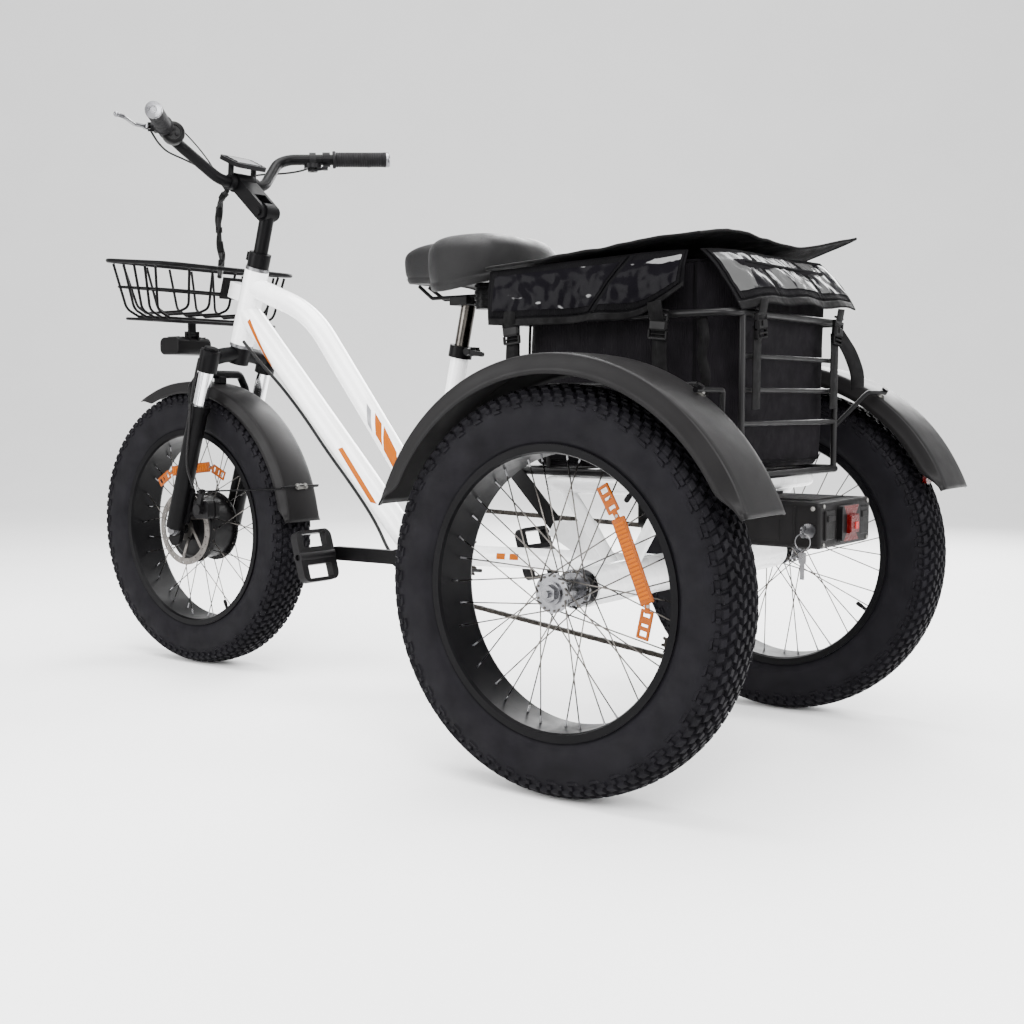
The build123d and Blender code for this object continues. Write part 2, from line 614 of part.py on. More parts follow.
PERCH_AT = GRIP_FROM - 14
LEVER_PIVOT_AHEAD = 34.0
perches = []
for side in (1, -1):
    perch = rod(bar_spot(side, PERCH_AT - 8), bar_spot(side, PERCH_AT + 8), 16)
    perch += rod(bar_spot(side, PERCH_AT, 10), bar_spot(side, PERCH_AT, LEVER_PIVOT_AHEAD - 8), 7)
    perch += rod(bar_spot(side, PERCH_AT - 6, 20), bar_spot(side, PERCH_AT - 34, 22), 5)
    for z_in, z_out in ((4.4, 9), (-9, -4.4)):
        fork_a = bar_spot(side, PERCH_AT, LEVER_PIVOT_AHEAD, z_in)
        fork_b = bar_spot(side, PERCH_AT, LEVER_PIVOT_AHEAD, z_out)
        perch += rod(fork_a, fork_b, 8)
        z_mid = (z_in + z_out) / 2
        perch += rod(bar_spot(side, PERCH_AT, 20, z_mid),
                     bar_spot(side, PERCH_AT, LEVER_PIVOT_AHEAD - 2, z_mid), 2.3)
    perch += rod(bar_spot(side, PERCH_AT, LEVER_PIVOT_AHEAD, -5),
                 bar_spot(side, PERCH_AT, LEVER_PIVOT_AHEAD, 5), 2.5)
    perch -= rod(bar_spot(side, PERCH_AT - 20), bar_spot(side, PERCH_AT + 20), BAR_R)
    perches.append(perch)
save("brake_perches", *perches)

for label, side in (("left", 1), ("right", -1)):
    tip = bar_spot(side, BAR_LEN - 34, 74, 0)
    lever = wire([bar_spot(side, PERCH_AT + 2, LEVER_PIVOT_AHEAD + 3), bar_spot(side, PERCH_AT + 26, 54, -1),
                  bar_spot(side, BAR_LEN - 46, 62, -2), tip], 4, 7)
    pivot_low = bar_spot(side, PERCH_AT, LEVER_PIVOT_AHEAD, -4)
    pivot_high = bar_spot(side, PERCH_AT, LEVER_PIVOT_AHEAD, 4)
    lever += rod(pivot_low, pivot_high, 7.5)
    lever += Pos(*tip) * Sphere(5.5)
    lever -= rod(bar_spot(side, PERCH_AT, LEVER_PIVOT_AHEAD, -6), bar_spot(side, PERCH_AT, LEVER_PIVOT_AHEAD, 6),
                 2.5 + RUNNING)
    save(f"brake_lever_{label}", lever)

# Thumb shifter under the right bar, with its own lever, and the switch pod on the left
SHIFT_AT = PERCH_AT - 30
shifter = rod(bar_spot(-1, SHIFT_AT - 7), bar_spot(-1, SHIFT_AT + 7), 15.5)
shifter += rod(bar_spot(-1, SHIFT_AT, 6, -18), bar_spot(-1, SHIFT_AT, 6, -8), 19)
shifter += rod(bar_spot(-1, SHIFT_AT, 6, -26), bar_spot(-1, SHIFT_AT, 6, -17), 4)
shifter -= rod(bar_spot(-1, SHIFT_AT - 20), bar_spot(-1, SHIFT_AT + 20), BAR_R)
save("thumb_shifter", shifter)

thumb_tip = bar_spot(-1, SHIFT_AT + 26, -18, -22)
thumb = rod(bar_spot(-1, SHIFT_AT, 6, -25), bar_spot(-1, SHIFT_AT, 6, -18.4), 11)
thumb += rod(bar_spot(-1, SHIFT_AT + 3, 2, -22), thumb_tip, 3.2)
thumb += rod(bar_spot(-1, SHIFT_AT + 26, -18, -25.5), bar_spot(-1, SHIFT_AT + 26, -18, -18.5), 7)
thumb -= rod(bar_spot(-1, SHIFT_AT, 6, -30), bar_spot(-1, SHIFT_AT, 6, -10), 4 + RUNNING)
save("shift_lever", thumb)

pod = rod(bar_spot(1, SHIFT_AT - 9), bar_spot(1, SHIFT_AT + 9), 16)
pod += rod(bar_spot(1, SHIFT_AT, -18, 4), bar_spot(1, SHIFT_AT, 0, 2), 14)
pod -= rod(bar_spot(1, SHIFT_AT - 20), bar_spot(1, SHIFT_AT + 20), BAR_R)

# Display: a tilted plate on two clips over the clamp
DISPLAY_TILT = radians(24)
display_plane = Plane(origin=(CLAMP[0] - 4, 0, CLAMP[1] + 42), x_dir=(cos(DISPLAY_TILT), 0, sin(DISPLAY_TILT)),
                      z_dir=(-sin(DISPLAY_TILT), 0, cos(DISPLAY_TILT)))
screen = Box(62, 86, 9)
display = display_plane * fillet(screen.edges().filter_by(Axis.Z), 10)
for side in (1, -1):
    display += rod((CLAMP[0], side * 31, CLAMP[1] + 12), (CLAMP[0] - 2, side * 31, CLAMP[1] + 38), 6)
    display += cross_ring(CLAMP[0], CLAMP[1], *span(side, 25, 37), 15.5, BAR_R)
save("display", display, pod)

# ---------------------------------------------------------------- front basket and headlight
BASKET_X = (1102.0, 1322.0)
BASKET_RIM_Z = (853.0, 873.0)
BASKET_Y = 180.0
BASE_X = (1134.0, 1290.0)
BASE_Z = (741.0, 751.0)
BASE_Y = 152.0
RIM_WIRE, THIN_WIRE = 4.5, 2.8


def tilted(x, z_pair, x_pair):
    """Height at x of a plane that slopes between two x stations."""
    return z_pair[0] + (z_pair[1] - z_pair[0]) * (x - x_pair[0]) / (x_pair[1] - x_pair[0])


def four_sides(ring, half_y, back):
    """A closed loop as its four sides, the two long ones with their rounded ends."""
    far = 600
    middle = (BASKET_X[0] + BASKET_X[1]) / 2
    cut = half_y - back
    return [ring & block(middle - far, middle + far, *span(side, cut, far), 600, 1000) for side in (1, -1)] + \
           [ring & block(*sorted((middle, middle + end * far)), -cut, cut, 600, 1000) for end in (1, -1)]


def front_basket():
    """Rim, mid and base loops with the side and floor wires, in the lengths that are welded together."""
    rim_loop = wire(ring_path(*BASKET_X, BASKET_Y, *BASKET_RIM_Z), RIM_WIRE, 38, close=True)
    mid_x = [(a * 0.55 + b * 0.45) for a, b in zip(BASKET_X, BASE_X)]
    mid_z = [(a * 0.55 + b * 0.45) for a, b in zip(BASKET_RIM_Z, BASE_Z)]
    mid_y = BASKET_Y * 0.55 + BASE_Y * 0.45
    mid_loop = wire(ring_path(mid_x[0] + 3, mid_x[1] - 3, mid_y - 3, *mid_z), THIN_WIRE, 34, close=True)
    pieces = four_sides(rim_loop, BASKET_Y, 22) + four_sides(mid_loop, mid_y, 22)
    pieces.append(wire(ring_path(*BASE_X, BASE_Y, *BASE_Z), 3, 26, close=True))
    for i in range(5):
        t = (i + 0.5) / 5
        xr = BASKET_X[0] + 24 + (BASKET_X[1] - BASKET_X[0] - 48) * t
        xb = BASE_X[0] + 14 + (BASE_X[1] - BASE_X[0] - 28) * t
        zr, zb = tilted(xr, BASKET_RIM_Z, BASKET_X), tilted(xb, BASE_Z, BASE_X) + 5.9
        for side in (1, -1):
            pieces.append(wire([(xr, side * (BASKET_Y - 2), zr - RIM_WIRE - 2),
                                (xb, side * (BASE_Y + 8), zb + 14),
                                (xb, side * (BASE_Y - 22), zb)], THIN_WIRE, 22))
        pieces.append(rod((xb, 22 - BASE_Y, zb), (xb, BASE_Y - 22, zb), THIN_WIRE))
    for i in range(5):
        t = (i + 0.5) / 5
        yr = (1 - 2 * t) * (BASKET_Y - 26)
        yb = (1 - 2 * t) * (BASE_Y - 18)
        zb = BASE_Z[1] + 11.8
        back, ahead = BASE_X[0] + 24, BASE_X[1] - 24
        pieces.append(wire([(BASKET_X[0] + 2, yr, BASKET_RIM_Z[0] - RIM_WIRE - 2), (BASE_X[0] - 6, yb, zb + 8),
                            (back, yb, zb)], THIN_WIRE, 22))
        pieces.append(rod((back, yb, zb), (ahead, yb, zb), THIN_WIRE))
        pieces.append(wire([(ahead, yb, zb), (BASE_X[1] + 6, yb, zb + 16),
                            (BASKET_X[1] - 2, yr, BASKET_RIM_Z[1] - RIM_WIRE - 2)], THIN_WIRE, 18))
    return pieces


plate_plane = Plane(origin=on_axis(BOSS_Z, BOSS_START + BOSS_LENGTH), x_dir=(0, 1, 0), z_dir=tuple(F))
mount_plate = plate_plane * Box(64, 46, 4, align=(Align.CENTER, Align.CENTER, Align.MIN))
LAMP_PIVOT = (1248.0, 721.0)
lamp_bracket = block(LAMP_PIVOT[0] - 3, LAMP_PIVOT[0] + 3, -9, 9, LAMP_PIVOT[1] - 3, BASE_Z[1] + 8.8)
lamp_bracket += cross_rod(*LAMP_PIVOT, -9, 9, 6)
lamp_bracket -= cross_rod(*LAMP_PIVOT, -20, 20, 3 + RUNNING)
save("front_basket", *front_basket(), mount_plate, lamp_bracket)

LAMP_C = (1270.0, 696.0)
lamp = Pos(LAMP_C[0], 0, LAMP_C[1]) * Box(64, 92, 38)
lamp = fillet(lamp.edges().filter_by(Axis.Y), 14)
lamp = fillet(lamp.edges(), 3)
for side in (1, -1):
    lamp += block(LAMP_PIVOT[0] - 8, LAMP_PIVOT[0] + 8, *span(side, 9.4, 14), LAMP_C[1] + 12, LAMP_PIVOT[1] + 7)
lamp += cross_rod(*LAMP_PIVOT, -17, 17, 3)
lamp -= cross_rod(*LAMP_PIVOT, -9.4, 9.4, 6.6) - cross_rod(*LAMP_PIVOT, -10, 10, 3)
save("headlight", lamp)

# ---------------------------------------------------------------- rear rack
SIDE_RAIL_Z = 600.0


def rear_rack():
    """A tubular open box on a slatted floor, with two flat struts and the battery's top rail."""
    corner = 24
    rail = wire(ring_path(RACK_REAR_X, RACK_FRONT_X, RACK_Y, RACK_TOP_Z, RACK_TOP_Z), RAIL_R, corner, close=True)
    floor_z = RACK_FLOOR_Z
    floor = wire(ring_path(RACK_REAR_X, RACK_FRONT_X, RACK_Y, floor_z, floor_z), RAIL_R, corner, close=True)
    part = rail + floor
    for x in (RACK_REAR_X, RACK_FRONT_X):
        for side in (1, -1):
            y = side * (RACK_Y - corner)
            part += rod((x, y, floor_z), (x, y, RACK_TOP_Z), 5)
    for side in (1, -1):
        y = side * RACK_Y
        for x in (-120, 150):
            part += rod((x, y, floor_z), (x, y, SIDE_RAIL_Z), 3.5)
        part += rod((-120, y, SIDE_RAIL_Z), (150, y, SIDE_RAIL_Z), 3.5)
    for z in (541, 591, 641):
        for x in (RACK_REAR_X, RACK_FRONT_X):
            part += cross_rod(x, z, corner - RACK_Y, RACK_Y - corner, 4)
    for x in (-110, -40, 30, 100, 170):
        part += block(x - 9, x + 9, -RACK_Y, RACK_Y, floor_z - 1.5, floor_z + 1.5)
    for side in (1, -1):
        top = (RACK_FRONT_X - 22, floor_z - 2)
        part += bar_xz(top, (118, WHEEL_R + 66), 13, *span(side, 197, 200.4))
        part += block(top[0] - 12, top[0] + 12, *span(side, 186, 200), floor_z - 3, floor_z)
        part += hexagon(130, WHEEL_R + 78, side * 200.4, side, 6.4, 3.6)
        part += hexagon(118, WHEEL_R + 64, side * 200.4, side, 6.4, 3.6)
    # the battery hangs from a flat rail bolted under the loop
    part += block(-150, 60, -40, 40, 426, 430.5)
    for x in (-110, 30):
        part += block(x - 8, x + 8, -36, -30, 430, floor_z)
        part += block(x - 8, x + 8, 30, 36, 430, floor_z)
    return part


frame_solid = frame()
save("rear_rack", rear_rack() - frame_solid)

# ---------------------------------------------------------------- bag
BAG_X = (-168.0, 222.0)
BAG_Y = 176.0
BAG_Z = (RACK_FLOOR_Z + RAIL_R + 0.5, BAG_TOP_Z)
bag = block(*BAG_X, -BAG_Y, BAG_Y, *BAG_Z)
bag = fillet(bag.edges().filter_by(Axis.Z), 40)
hollow = block(BAG_X[0] + 4, BAG_X[1] - 4, 4 - BAG_Y, BAG_Y - 4, BAG_Z[0] + 5, BAG_Z[1] + 1)
hollow = fillet(hollow.edges().filter_by(Axis.Z), 36)
shell = bag - hollow
side_cut, floor_top = BAG_Y - 40, BAG_Z[0] + 5
middle = (BAG_X[0] + BAG_X[1]) / 2
panels = [shell & block(-400, 400, -BAG_Y, BAG_Y, BAG_Z[0], floor_top)]
for side in (1, -1):
    panels.append(shell & block(-400, 400, *span(side, side_cut, 400), floor_top, 900))
    panels.append(shell & block(*sorted((middle, middle + side * 400)), -side_cut, side_cut, floor_top, 900))
save("cargo_bag", *panels)

LID_X = (-194.0, 244.0)
LID_Y = 204.0
LID_Z = (789.0, 797.0)
SKIRT_Z = 712.0
lid = block(*LID_X, -LID_Y, LID_Y, SKIRT_Z, LID_Z[1])
lid = fillet(lid.edges().filter_by(Axis.Z).group_by(Axis.X)[0], 34)
under = block(LID_X[0] + 3, LID_X[1] + 40, 3 - LID_Y, LID_Y - 3, SKIRT_Z - 1, LID_Z[0])
under = fillet(under.edges().filter_by(Axis.Z).group_by(Axis.X)[0], 31)
save("bag_lid", lid - under)

STRAP_W = 26.0


def buckle(x, y, z, along_x):
    """A side-release buckle: a flat body with a raised bar."""
    w, d, h = (30, 7, 34) if along_x else (7, 30, 34)
    return fillet((Pos(x, y, z) * Box(w, d, h)).edges().filter_by(Axis.Z), 2)


straps = []
for x in (-62, 214):
    for side in (1, -1):
        y = side * (RACK_Y + RAIL_R + 1.2)
        straps.append(block(x - STRAP_W / 2, x + STRAP_W / 2, *span(side, abs(y), abs(y) + 1.6), 520, 706))
        straps.append(buckle(x, y + side * 5.4, 690, True))
for side in (1, -1):
    x = RACK_REAR_X - RAIL_R - 1.2
    y = side * 138
    straps.append(block(x - 1.6, x, y - STRAP_W / 2, y + STRAP_W / 2, 560, 706))
    straps.append(buckle(x - 5.4, y, 690, False))
save("bag_straps", *straps)

# ---------------------------------------------------------------- battery, tail light and key
BATTERY_X = (-275.0, -66.0)
CONTROLLER_X = (-65.0, 40.0)
CONTROLLER_FLOOR_Z = 371.0
BATTERY_Y = 95.0
BATTERY_Z = (354.0, 424.0)
battery = block(*BATTERY_X, -BATTERY_Y, BATTERY_Y, *BATTERY_Z)
battery = fillet(battery.edges().filter_by(Axis.X), 9)
battery = fillet(battery.edges().filter_by(Axis.Z), 6)
LOCK = (-258.0, 382.0)
LOCK_R = 11.0
battery -= cross_rod(LOCK[0], LOCK[1], BATTERY_Y - 22, BATTERY_Y + 1, LOCK_R + RUNNING)
save("battery_box", battery)

controller = block(*CONTROLLER_X, -BATTERY_Y, BATTERY_Y, CONTROLLER_FLOOR_Z, BATTERY_Z[1])
controller = fillet(controller.edges().filter_by(Axis.X), 9)
for y in HOUSING_GAP:
    controller -= block(-30, CONTROLLER_X[1] + 1, y - 3.6, y + 3.6, CONTROLLER_FLOOR_Z - 1, BATTERY_Z[1] + 1)
save("motor_controller", controller)

bezel = block(-284, BATTERY_X[0], -34, 34, 362, 416)
bezel = fillet(bezel.edges().filter_by(Axis.X), 6)
lens = block(-289, -284, -17, 17, 374, 402)
save("tail_light", bezel + lens)

barrel = cross_rod(LOCK[0], LOCK[1], BATTERY_Y - 21, BATTERY_Y + 4, LOCK_R)
barrel += block(LOCK[0] - 1.2, LOCK[0] + 1.2, BATTERY_Y + 3, BATTERY_Y + 12, LOCK[1] - 4, LOCK[1] + 4)
bow = Pos(LOCK[0], BATTERY_Y + 20, LOCK[1]) * (Rot(0, 90, 0) * Cylinder(9.5, 2.4))
barrel += bow
KEY_HOLE = (BATTERY_Y + 22.0, LOCK[1] - 3.0)
barrel -= rod((LOCK[0] - 4, KEY_HOLE[0], KEY_HOLE[1]), (LOCK[0] + 4, KEY_HOLE[0], KEY_HOLE[1]), 3.2)
save("battery_key", barrel)

KEY_RING_R = 12.0
ring_c = (LOCK[0], KEY_HOLE[0], KEY_HOLE[1] - KEY_RING_R)
ring = Pos(*ring_c) * (Rot(0, 0, 0) * Rot(90, 0, 0) * Torus(KEY_RING_R, 0.9))
hang_z = ring_c[2] - KEY_RING_R
spare = Pos(ring_c[0], ring_c[1], hang_z - 10) * Box(11, 3.4, 22)
spare = fillet(spare.edges().filter_by(Axis.Y), 4)
spare -= Pos(ring_c[0], ring_c[1], hang_z - 1.6) * (Rot(0, 90, 0) * Cylinder(2.6, 30))
spare += block(ring_c[0] - 3.2, ring_c[0] + 3.2, ring_c[1] - 0.9, ring_c[1] + 0.9, hang_z - 44, hang_z - 20)
save("key_ring", ring, spare)

# ---------------------------------------------------------------- rear mudguards
for label, side in (("left", 1), ("right", -1)):
    profile = fender_profile(FENDER_R, FENDER_HALF_W, 30, 2.5)
    save(f"rear_fender_{label}", lathe(profile, FENDER_AXIS[0], side * TRACK / 2, FENDER_AXIS[1], 19, 140))


def fender_point(angle, lift=0.0):
    """An (x, z) point on the crown of a rear mudguard."""
    r = FENDER_R + lift
    return (FENDER_AXIS[0] + r * cos(radians(angle)), FENDER_AXIS[1] + r * sin(radians(angle)))


def fender_point3(angle, lift, y):
    x, z = fender_point(angle, lift)
    return (x, y, z)


brackets = []
for side in (1, -1):
    for angle, post_x, post_z in ((124, RACK_REAR_X + 14, 532), (58, 150, 560)):
        px, pz = fender_point(angle, 4.3)
        y_out = side * 338
        arm = wire([(post_x, side * (RACK_Y + RAIL_R + 4), post_z), (px, side * (RACK_Y + 70), pz),
                    (px, y_out, pz)], 4, 16)
        brackets.append(arm)
        n = Vector(cos(radians(angle)), 0, sin(radians(angle)))
        head = Vector(px, y_out - side * 8, pz) + n * 4
        brackets.append(rod(tuple(head), tuple(head + n * 4), 6))
save("fender_brackets", *brackets)

reflectors = []
for side in (1, -1):
    px, pz = fender_point(152, -26)
    tail = Pos(px, side * (TRACK / 2 - 26), pz) * (Rot(0, 74, 0) * Cylinder(21, 7))
    stalk = rod((px, side * (TRACK / 2 - 26), pz), fender_point3(152, -2.5, side * (TRACK / 2 - 26)), 4)
    reflectors.append(tail + stalk)
save("rear_reflectors", *reflectors)

# ---------------------------------------------------------------- seat
clamp_low = Vector(*on_seat(SEAT_TUBE_TOP_Z - 12))
clamp_high = clamp_low + SEAT_DIR * 22
clamp = rod(tuple(clamp_low), tuple(clamp_high), 22)
clamp += block(clamp_low.X - 40, clamp_low.X - 14, -9, 9, clamp_low.Z + 2, clamp_low.Z + 18)
clamp -= rod(tuple(clamp_low - SEAT_DIR * 5), on_seat(SEAT_TUBE_TOP_Z), 17)
clamp -= rod(on_seat(600), on_seat(720), SEAT_POST_R + 0.4)
clamp -= block(clamp_low.X - 50, clamp_low.X - 5, -1.5, 1.5, clamp_low.Z - 10, clamp_low.Z + 40)
QR = (clamp_low.X - 31, clamp_low.Z + 10)
clamp -= cross_rod(QR[0], QR[1], -20, 20, 2.6)
save("seat_clamp", clamp)

quick = cross_rod(QR[0], QR[1], -14, 16, 2.5)
quick += cross_rod(QR[0], QR[1], -16, -9.4, 6)
quick += cross_rod(QR[0], QR[1], 9.4, 20, 7)
quick += bar_xz(QR, (QR[0] - 34, QR[1] - 6), 4.5, 14, 19)
save("seat_lever", quick)

POST_TOP_Z = 752.0
seat_post = tube(on_seat(545), on_seat(POST_TOP_Z), SEAT_POST_R, SEAT_POST_R - 2.2)
top = on_seat(POST_TOP_Z)
post_head = Pos(top[0], 0, top[2] + 6) * Box(40, 62, 14)
post_head = fillet(post_head.edges().filter_by(Axis.Y), 4)
RAIL_Y = 22.0
RAIL_Z = 768.0
save("seat_post", seat_post + post_head)

SADDLE_Z = (784.0, 872.0)
BUMPER = (388.0, 48.0)
saddle_frame = []
for side in (1, -1):
    rail = wire([(575, side * 14, SADDLE_Z[0] + 6), (540, side * 18, RAIL_Z - 2), (500, side * RAIL_Y, RAIL_Z - 2.4),
                 (430, side * RAIL_Y, RAIL_Z - 2.4), (352, side * 34, SADDLE_Z[0] + 6)], 3.4, 9)
    bumper = rod((BUMPER[0], side * BUMPER[1], 738), (BUMPER[0], side * BUMPER[1], SADDLE_Z[0]), 19)
    for k in range(4):
        z = 743 + 11 * k
        bumper += rod((BUMPER[0], side * BUMPER[1], z), (BUMPER[0], side * BUMPER[1], z + 5), 21.5)
    saddle_frame += [rail - post_head, bumper - rail]
save("saddle_frame", *saddle_frame)

SADDLE_HALF = [(605, 0), (603, 26), (545, 40), (470, 106), (412, 126), (345, 108), (326, 60), (324, 0)]
outline = [Vector(x, y, SADDLE_Z[0]) for x, y in SADDLE_HALF]
outline += [Vector(x, -y, SADDLE_Z[0]) for x, y in reversed(SADDLE_HALF[1:-1])]
pad = extrude(make_face(Spline(*outline, periodic=True)), amount=SADDLE_Z[1] - SADDLE_Z[0])
for piece in saddle_frame:
    pad = pad - piece
save("saddle", pad)

# ---------------------------------------------------------------- drive
def tooth_ring(x, z, y0, y1, teeth, bore):
    """A chain sprocket with plain trapezoid teeth."""
    pitch_r = CHAIN_PITCH / 2 / sin(pi / teeth)
    root, tip = pitch_r - 3.6, pitch_r + 2.2
    points = []
    for i in range(teeth):
        a = 2 * pi * i / teeth
        for share, r in ((-0.27, root), (-0.12, tip), (0.12, tip), (0.27, root)):
            b = a + share * 2 * pi / teeth
            points.append((x + r * cos(b), z + r * sin(b)))
    return plate_xz(points, y0, y1) - cross_rod(x, z, y0 - 1, y1 + 1, bore)


def pitch_radius(teeth):
    return CHAIN_PITCH / 2 / sin(pi / teeth)


RING_T = 2.4
ring = tooth_ring(BB[0], BB[1], CHAIN_Y - RING_T / 2, CHAIN_Y + RING_T / 2, RING_TEETH, 62)
for i in range(5):
    a = 2 * pi * i / 5 + 0.3
    inner = (BB[0] + 12 * cos(a), BB[1] + 12 * sin(a))
    outer = (BB[0] + 64 * cos(a), BB[1] + 64 * sin(a))
    ring += bar_xz(inner, outer, 9, CHAIN_Y - RING_T / 2, CHAIN_Y + RING_T / 2)
ring -= cross_rod(BB[0], BB[1], CHAIN_Y - 5, CHAIN_Y + 5, 10)
save("chainring", ring)

spindle = cross_rod(BB[0], BB[1], -CRANK_Y + 6, CRANK_Y - 2, 8.5)
crank_set = spindle
crank_set += cross_rod(BB[0], BB[1], -CRANK_Y, CHAIN_Y - RING_T / 2 - 0.2, 15)
PEDAL_SPINDLE_R = 6.0
for side in (1, -1):
    eye = (BB[0] + side * CRANK, BB[1] - side * 2)
    crank_set += bar_xz(BB, eye, 13, *span(side, CRANK_Y - 8, CRANK_Y + 6))
    crank_set += cross_rod(BB[0], BB[1], *span(side, CRANK_Y - 12, CRANK_Y + 8), 17)
    crank_set += cross_rod(eye[0], eye[1], *span(side, CRANK_Y + 6, CRANK_Y + 100), PEDAL_SPINDLE_R)
save("crank_set", crank_set)

PEDAL_LEAN = 74.0
for label, side in (("left", 1), ("right", -1)):
    eye = (BB[0] + side * CRANK, BB[1] - side * 2)
    mid_y = side * (CRANK_Y + 58)
    body = Box(100, 92, 17)
    body = fillet(body.edges().filter_by(Axis.Z), 16)
    for dx in (-30, 30):
        body -= Pos(dx, 0, 0) * Box(26, 62, 30)
    placed = Pos(eye[0], mid_y, eye[1]) * (Rot(0, -PEDAL_LEAN, 0) * body)
    placed += cross_rod(eye[0], eye[1], *span(side, CRANK_Y + 12, CRANK_Y + 104), 11)
    placed -= cross_rod(eye[0], eye[1], -300, 300, PEDAL_SPINDLE_R + RUNNING)
    save(f"pedal_{label}", placed)

COG_STEP = 4.6
cluster = cross_rod(0, WHEEL_R, CHAIN_Y - 7 * COG_STEP, CHAIN_Y + 9, 21)
for i, teeth in enumerate(COG_TEETH):
    y = CHAIN_Y - i * COG_STEP
    cluster += tooth_ring(0, WHEEL_R, y - 1, y + 1, teeth, 18)
cluster -= cross_rod(0, WHEEL_R, -120, 0, AXLE_R + RUNNING)
save("freewheel", cluster)

# Derailleur: two guide pulleys in a cage that hangs from the hanger plate
PULLEY_TEETH = 11
UPPER_PULLEY = (30.0, WHEEL_R - 92.0)
LOWER_PULLEY = (52.0, WHEEL_R - 146.0)
cage = bar_xz(UPPER_PULLEY, LOWER_PULLEY, 11, CHAIN_Y - 8, CHAIN_Y - 5.6)
cage += bar_xz(UPPER_PULLEY, LOWER_PULLEY, 11, CHAIN_Y + 5.6, CHAIN_Y + 8)
for centre in (UPPER_PULLEY, LOWER_PULLEY):
    cage += tooth_ring(centre[0], centre[1], CHAIN_Y - 1.5, CHAIN_Y + 1.5, PULLEY_TEETH, 3)
    cage += cross_rod(centre[0], centre[1], CHAIN_Y - 8, CHAIN_Y + 8, 3)
arm_y = HOUSING_GAP[0] + 5
cage += bar_xz((16, WHEEL_R - 48), (UPPER_PULLEY[0], UPPER_PULLEY[1] + 4), 10, arm_y, arm_y + 18)
cage += cross_rod(UPPER_PULLEY[0], UPPER_PULLEY[1] + 4, arm_y, CHAIN_Y - 7, 9)
cage += cross_rod(16, WHEEL_R - 48, HOUSING_GAP[0] + 3.1, arm_y + 1, 7)
save("derailleur", cage)


# Chain: the side plates as two bands, with pins along the free runs
def chain_loop(shift):
    """The chain's closed line moved outward by shift, as joined lines and arcs in (x, z)."""
    wheels = [(BB[0], BB[1], pitch_radius(RING_TEETH), 1), (0, WHEEL_R, pitch_radius(COG_TEETH[0]), 1),
              (UPPER_PULLEY[0], UPPER_PULLEY[1], pitch_radius(PULLEY_TEETH), -1),
              (LOWER_PULLEY[0], LOWER_PULLEY[1], pitch_radius(PULLEY_TEETH), 1)]
    n = len(wheels)
    leave, arrive = [None] * n, [None] * n
    for i in range(n):
        j = (i + 1) % n
        xi, zi, ri, si = wheels[i]
        xj, zj, rj, sj = wheels[j]
        pi_r, pj_r = si * ri + shift, sj * rj + shift
        dist = hypot(xj - xi, zj - zi)
        heading = atan2(zj - zi, xj - xi) + asin((pi_r - pj_r) / dist)
        right = (sin(heading), -cos(heading))
        leave[i] = (xi + pi_r * right[0], zi + pi_r * right[1])
        arrive[j] = (xj + pj_r * right[0], zj + pj_r * right[1])
    edges = []
    for i in range(n):
        x, z, r, s = wheels[i]
        radius = abs(s * r + shift)
        a0 = atan2(arrive[i][1] - z, arrive[i][0] - x)
        a1 = atan2(leave[i][1] - z, leave[i][0] - x)
        sweep_angle = (a1 - a0) % (2 * pi) if s > 0 else -((a0 - a1) % (2 * pi))
        am = a0 + sweep_angle / 2
        mid = (x + radius * cos(am), z + radius * sin(am))
        edges.append(ThreePointArc(arrive[i], mid, leave[i]))
        edges.append(Line(leave[i], arrive[(i + 1) % n]))
    return edges, leave, arrive


def chain_band(y0, y1):
    flat = make_face(chain_loop(4.0)[0]) - make_face(chain_loop(-4.0)[0])
    plane = Plane(origin=(0, y1, 0), x_dir=(1, 0, 0), z_dir=(0, -1, 0))
    return extrude(plane * flat, amount=y1 - y0)


chain_parts = [chain_band(CHAIN_Y + 2.2, CHAIN_Y + 3.6), chain_band(CHAIN_Y - 3.6, CHAIN_Y - 2.2)]
_, leave, arrive = chain_loop(0.0)
for a, b in ((leave[0], arrive[1]), (leave[3], arrive[0])):
    count = int(hypot(b[0] - a[0], b[1] - a[1]) // CHAIN_PITCH)
    for i in range(4, count - 3, 2):
        t = i / count
        x, z = a[0] + (b[0] - a[0]) * t, a[1] + (b[1] - a[1]) * t
        chain_parts.append(cross_rod(x, z, CHAIN_Y - 2.2, CHAIN_Y + 2.2, 2.6))
save("chain", *chain_parts)

# ---------------------------------------------------------------- cables
BUNDLE_D = 11.0
bundle = [(1100, 22, 1016), (1126, 20, 1003), (1140, 12, 966), (1146, 6, 918), (1141, 2, 874), (1127, 24, 838)]
bundle_solid = cord("cable_bundle", bundle, BUNDLE_D)

HOSE_D = 5.0
hose = [(1092, 112, 664), (1104, 116, 620), (1122, 112, 566), (1140, 102, 516), (1152, 100, 466),
        (1154, 98, 424),
        (1146, 88, 392)]
save("steering_cables", bundle_solid, cord("front_brake_hose", hose, HOSE_D))

LOOM_D = 7.0
loom = [(1046, 32, 700), (1010, 30, 664), (968, 6, 612), (900, 3, 546), (832, 5, 474), (764, 3, 406),
        (700, 5, 338),
        (650, 22, 282), (600, 32, 246), (540, 30, 250), (480, 26, 262), (420, 24, 264)]
save("frame_cables", cord("frame_cables", loom, LOOM_D))
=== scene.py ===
import bmesh
import bpy
import math
import random
from mathutils import Matrix, Vector, noise


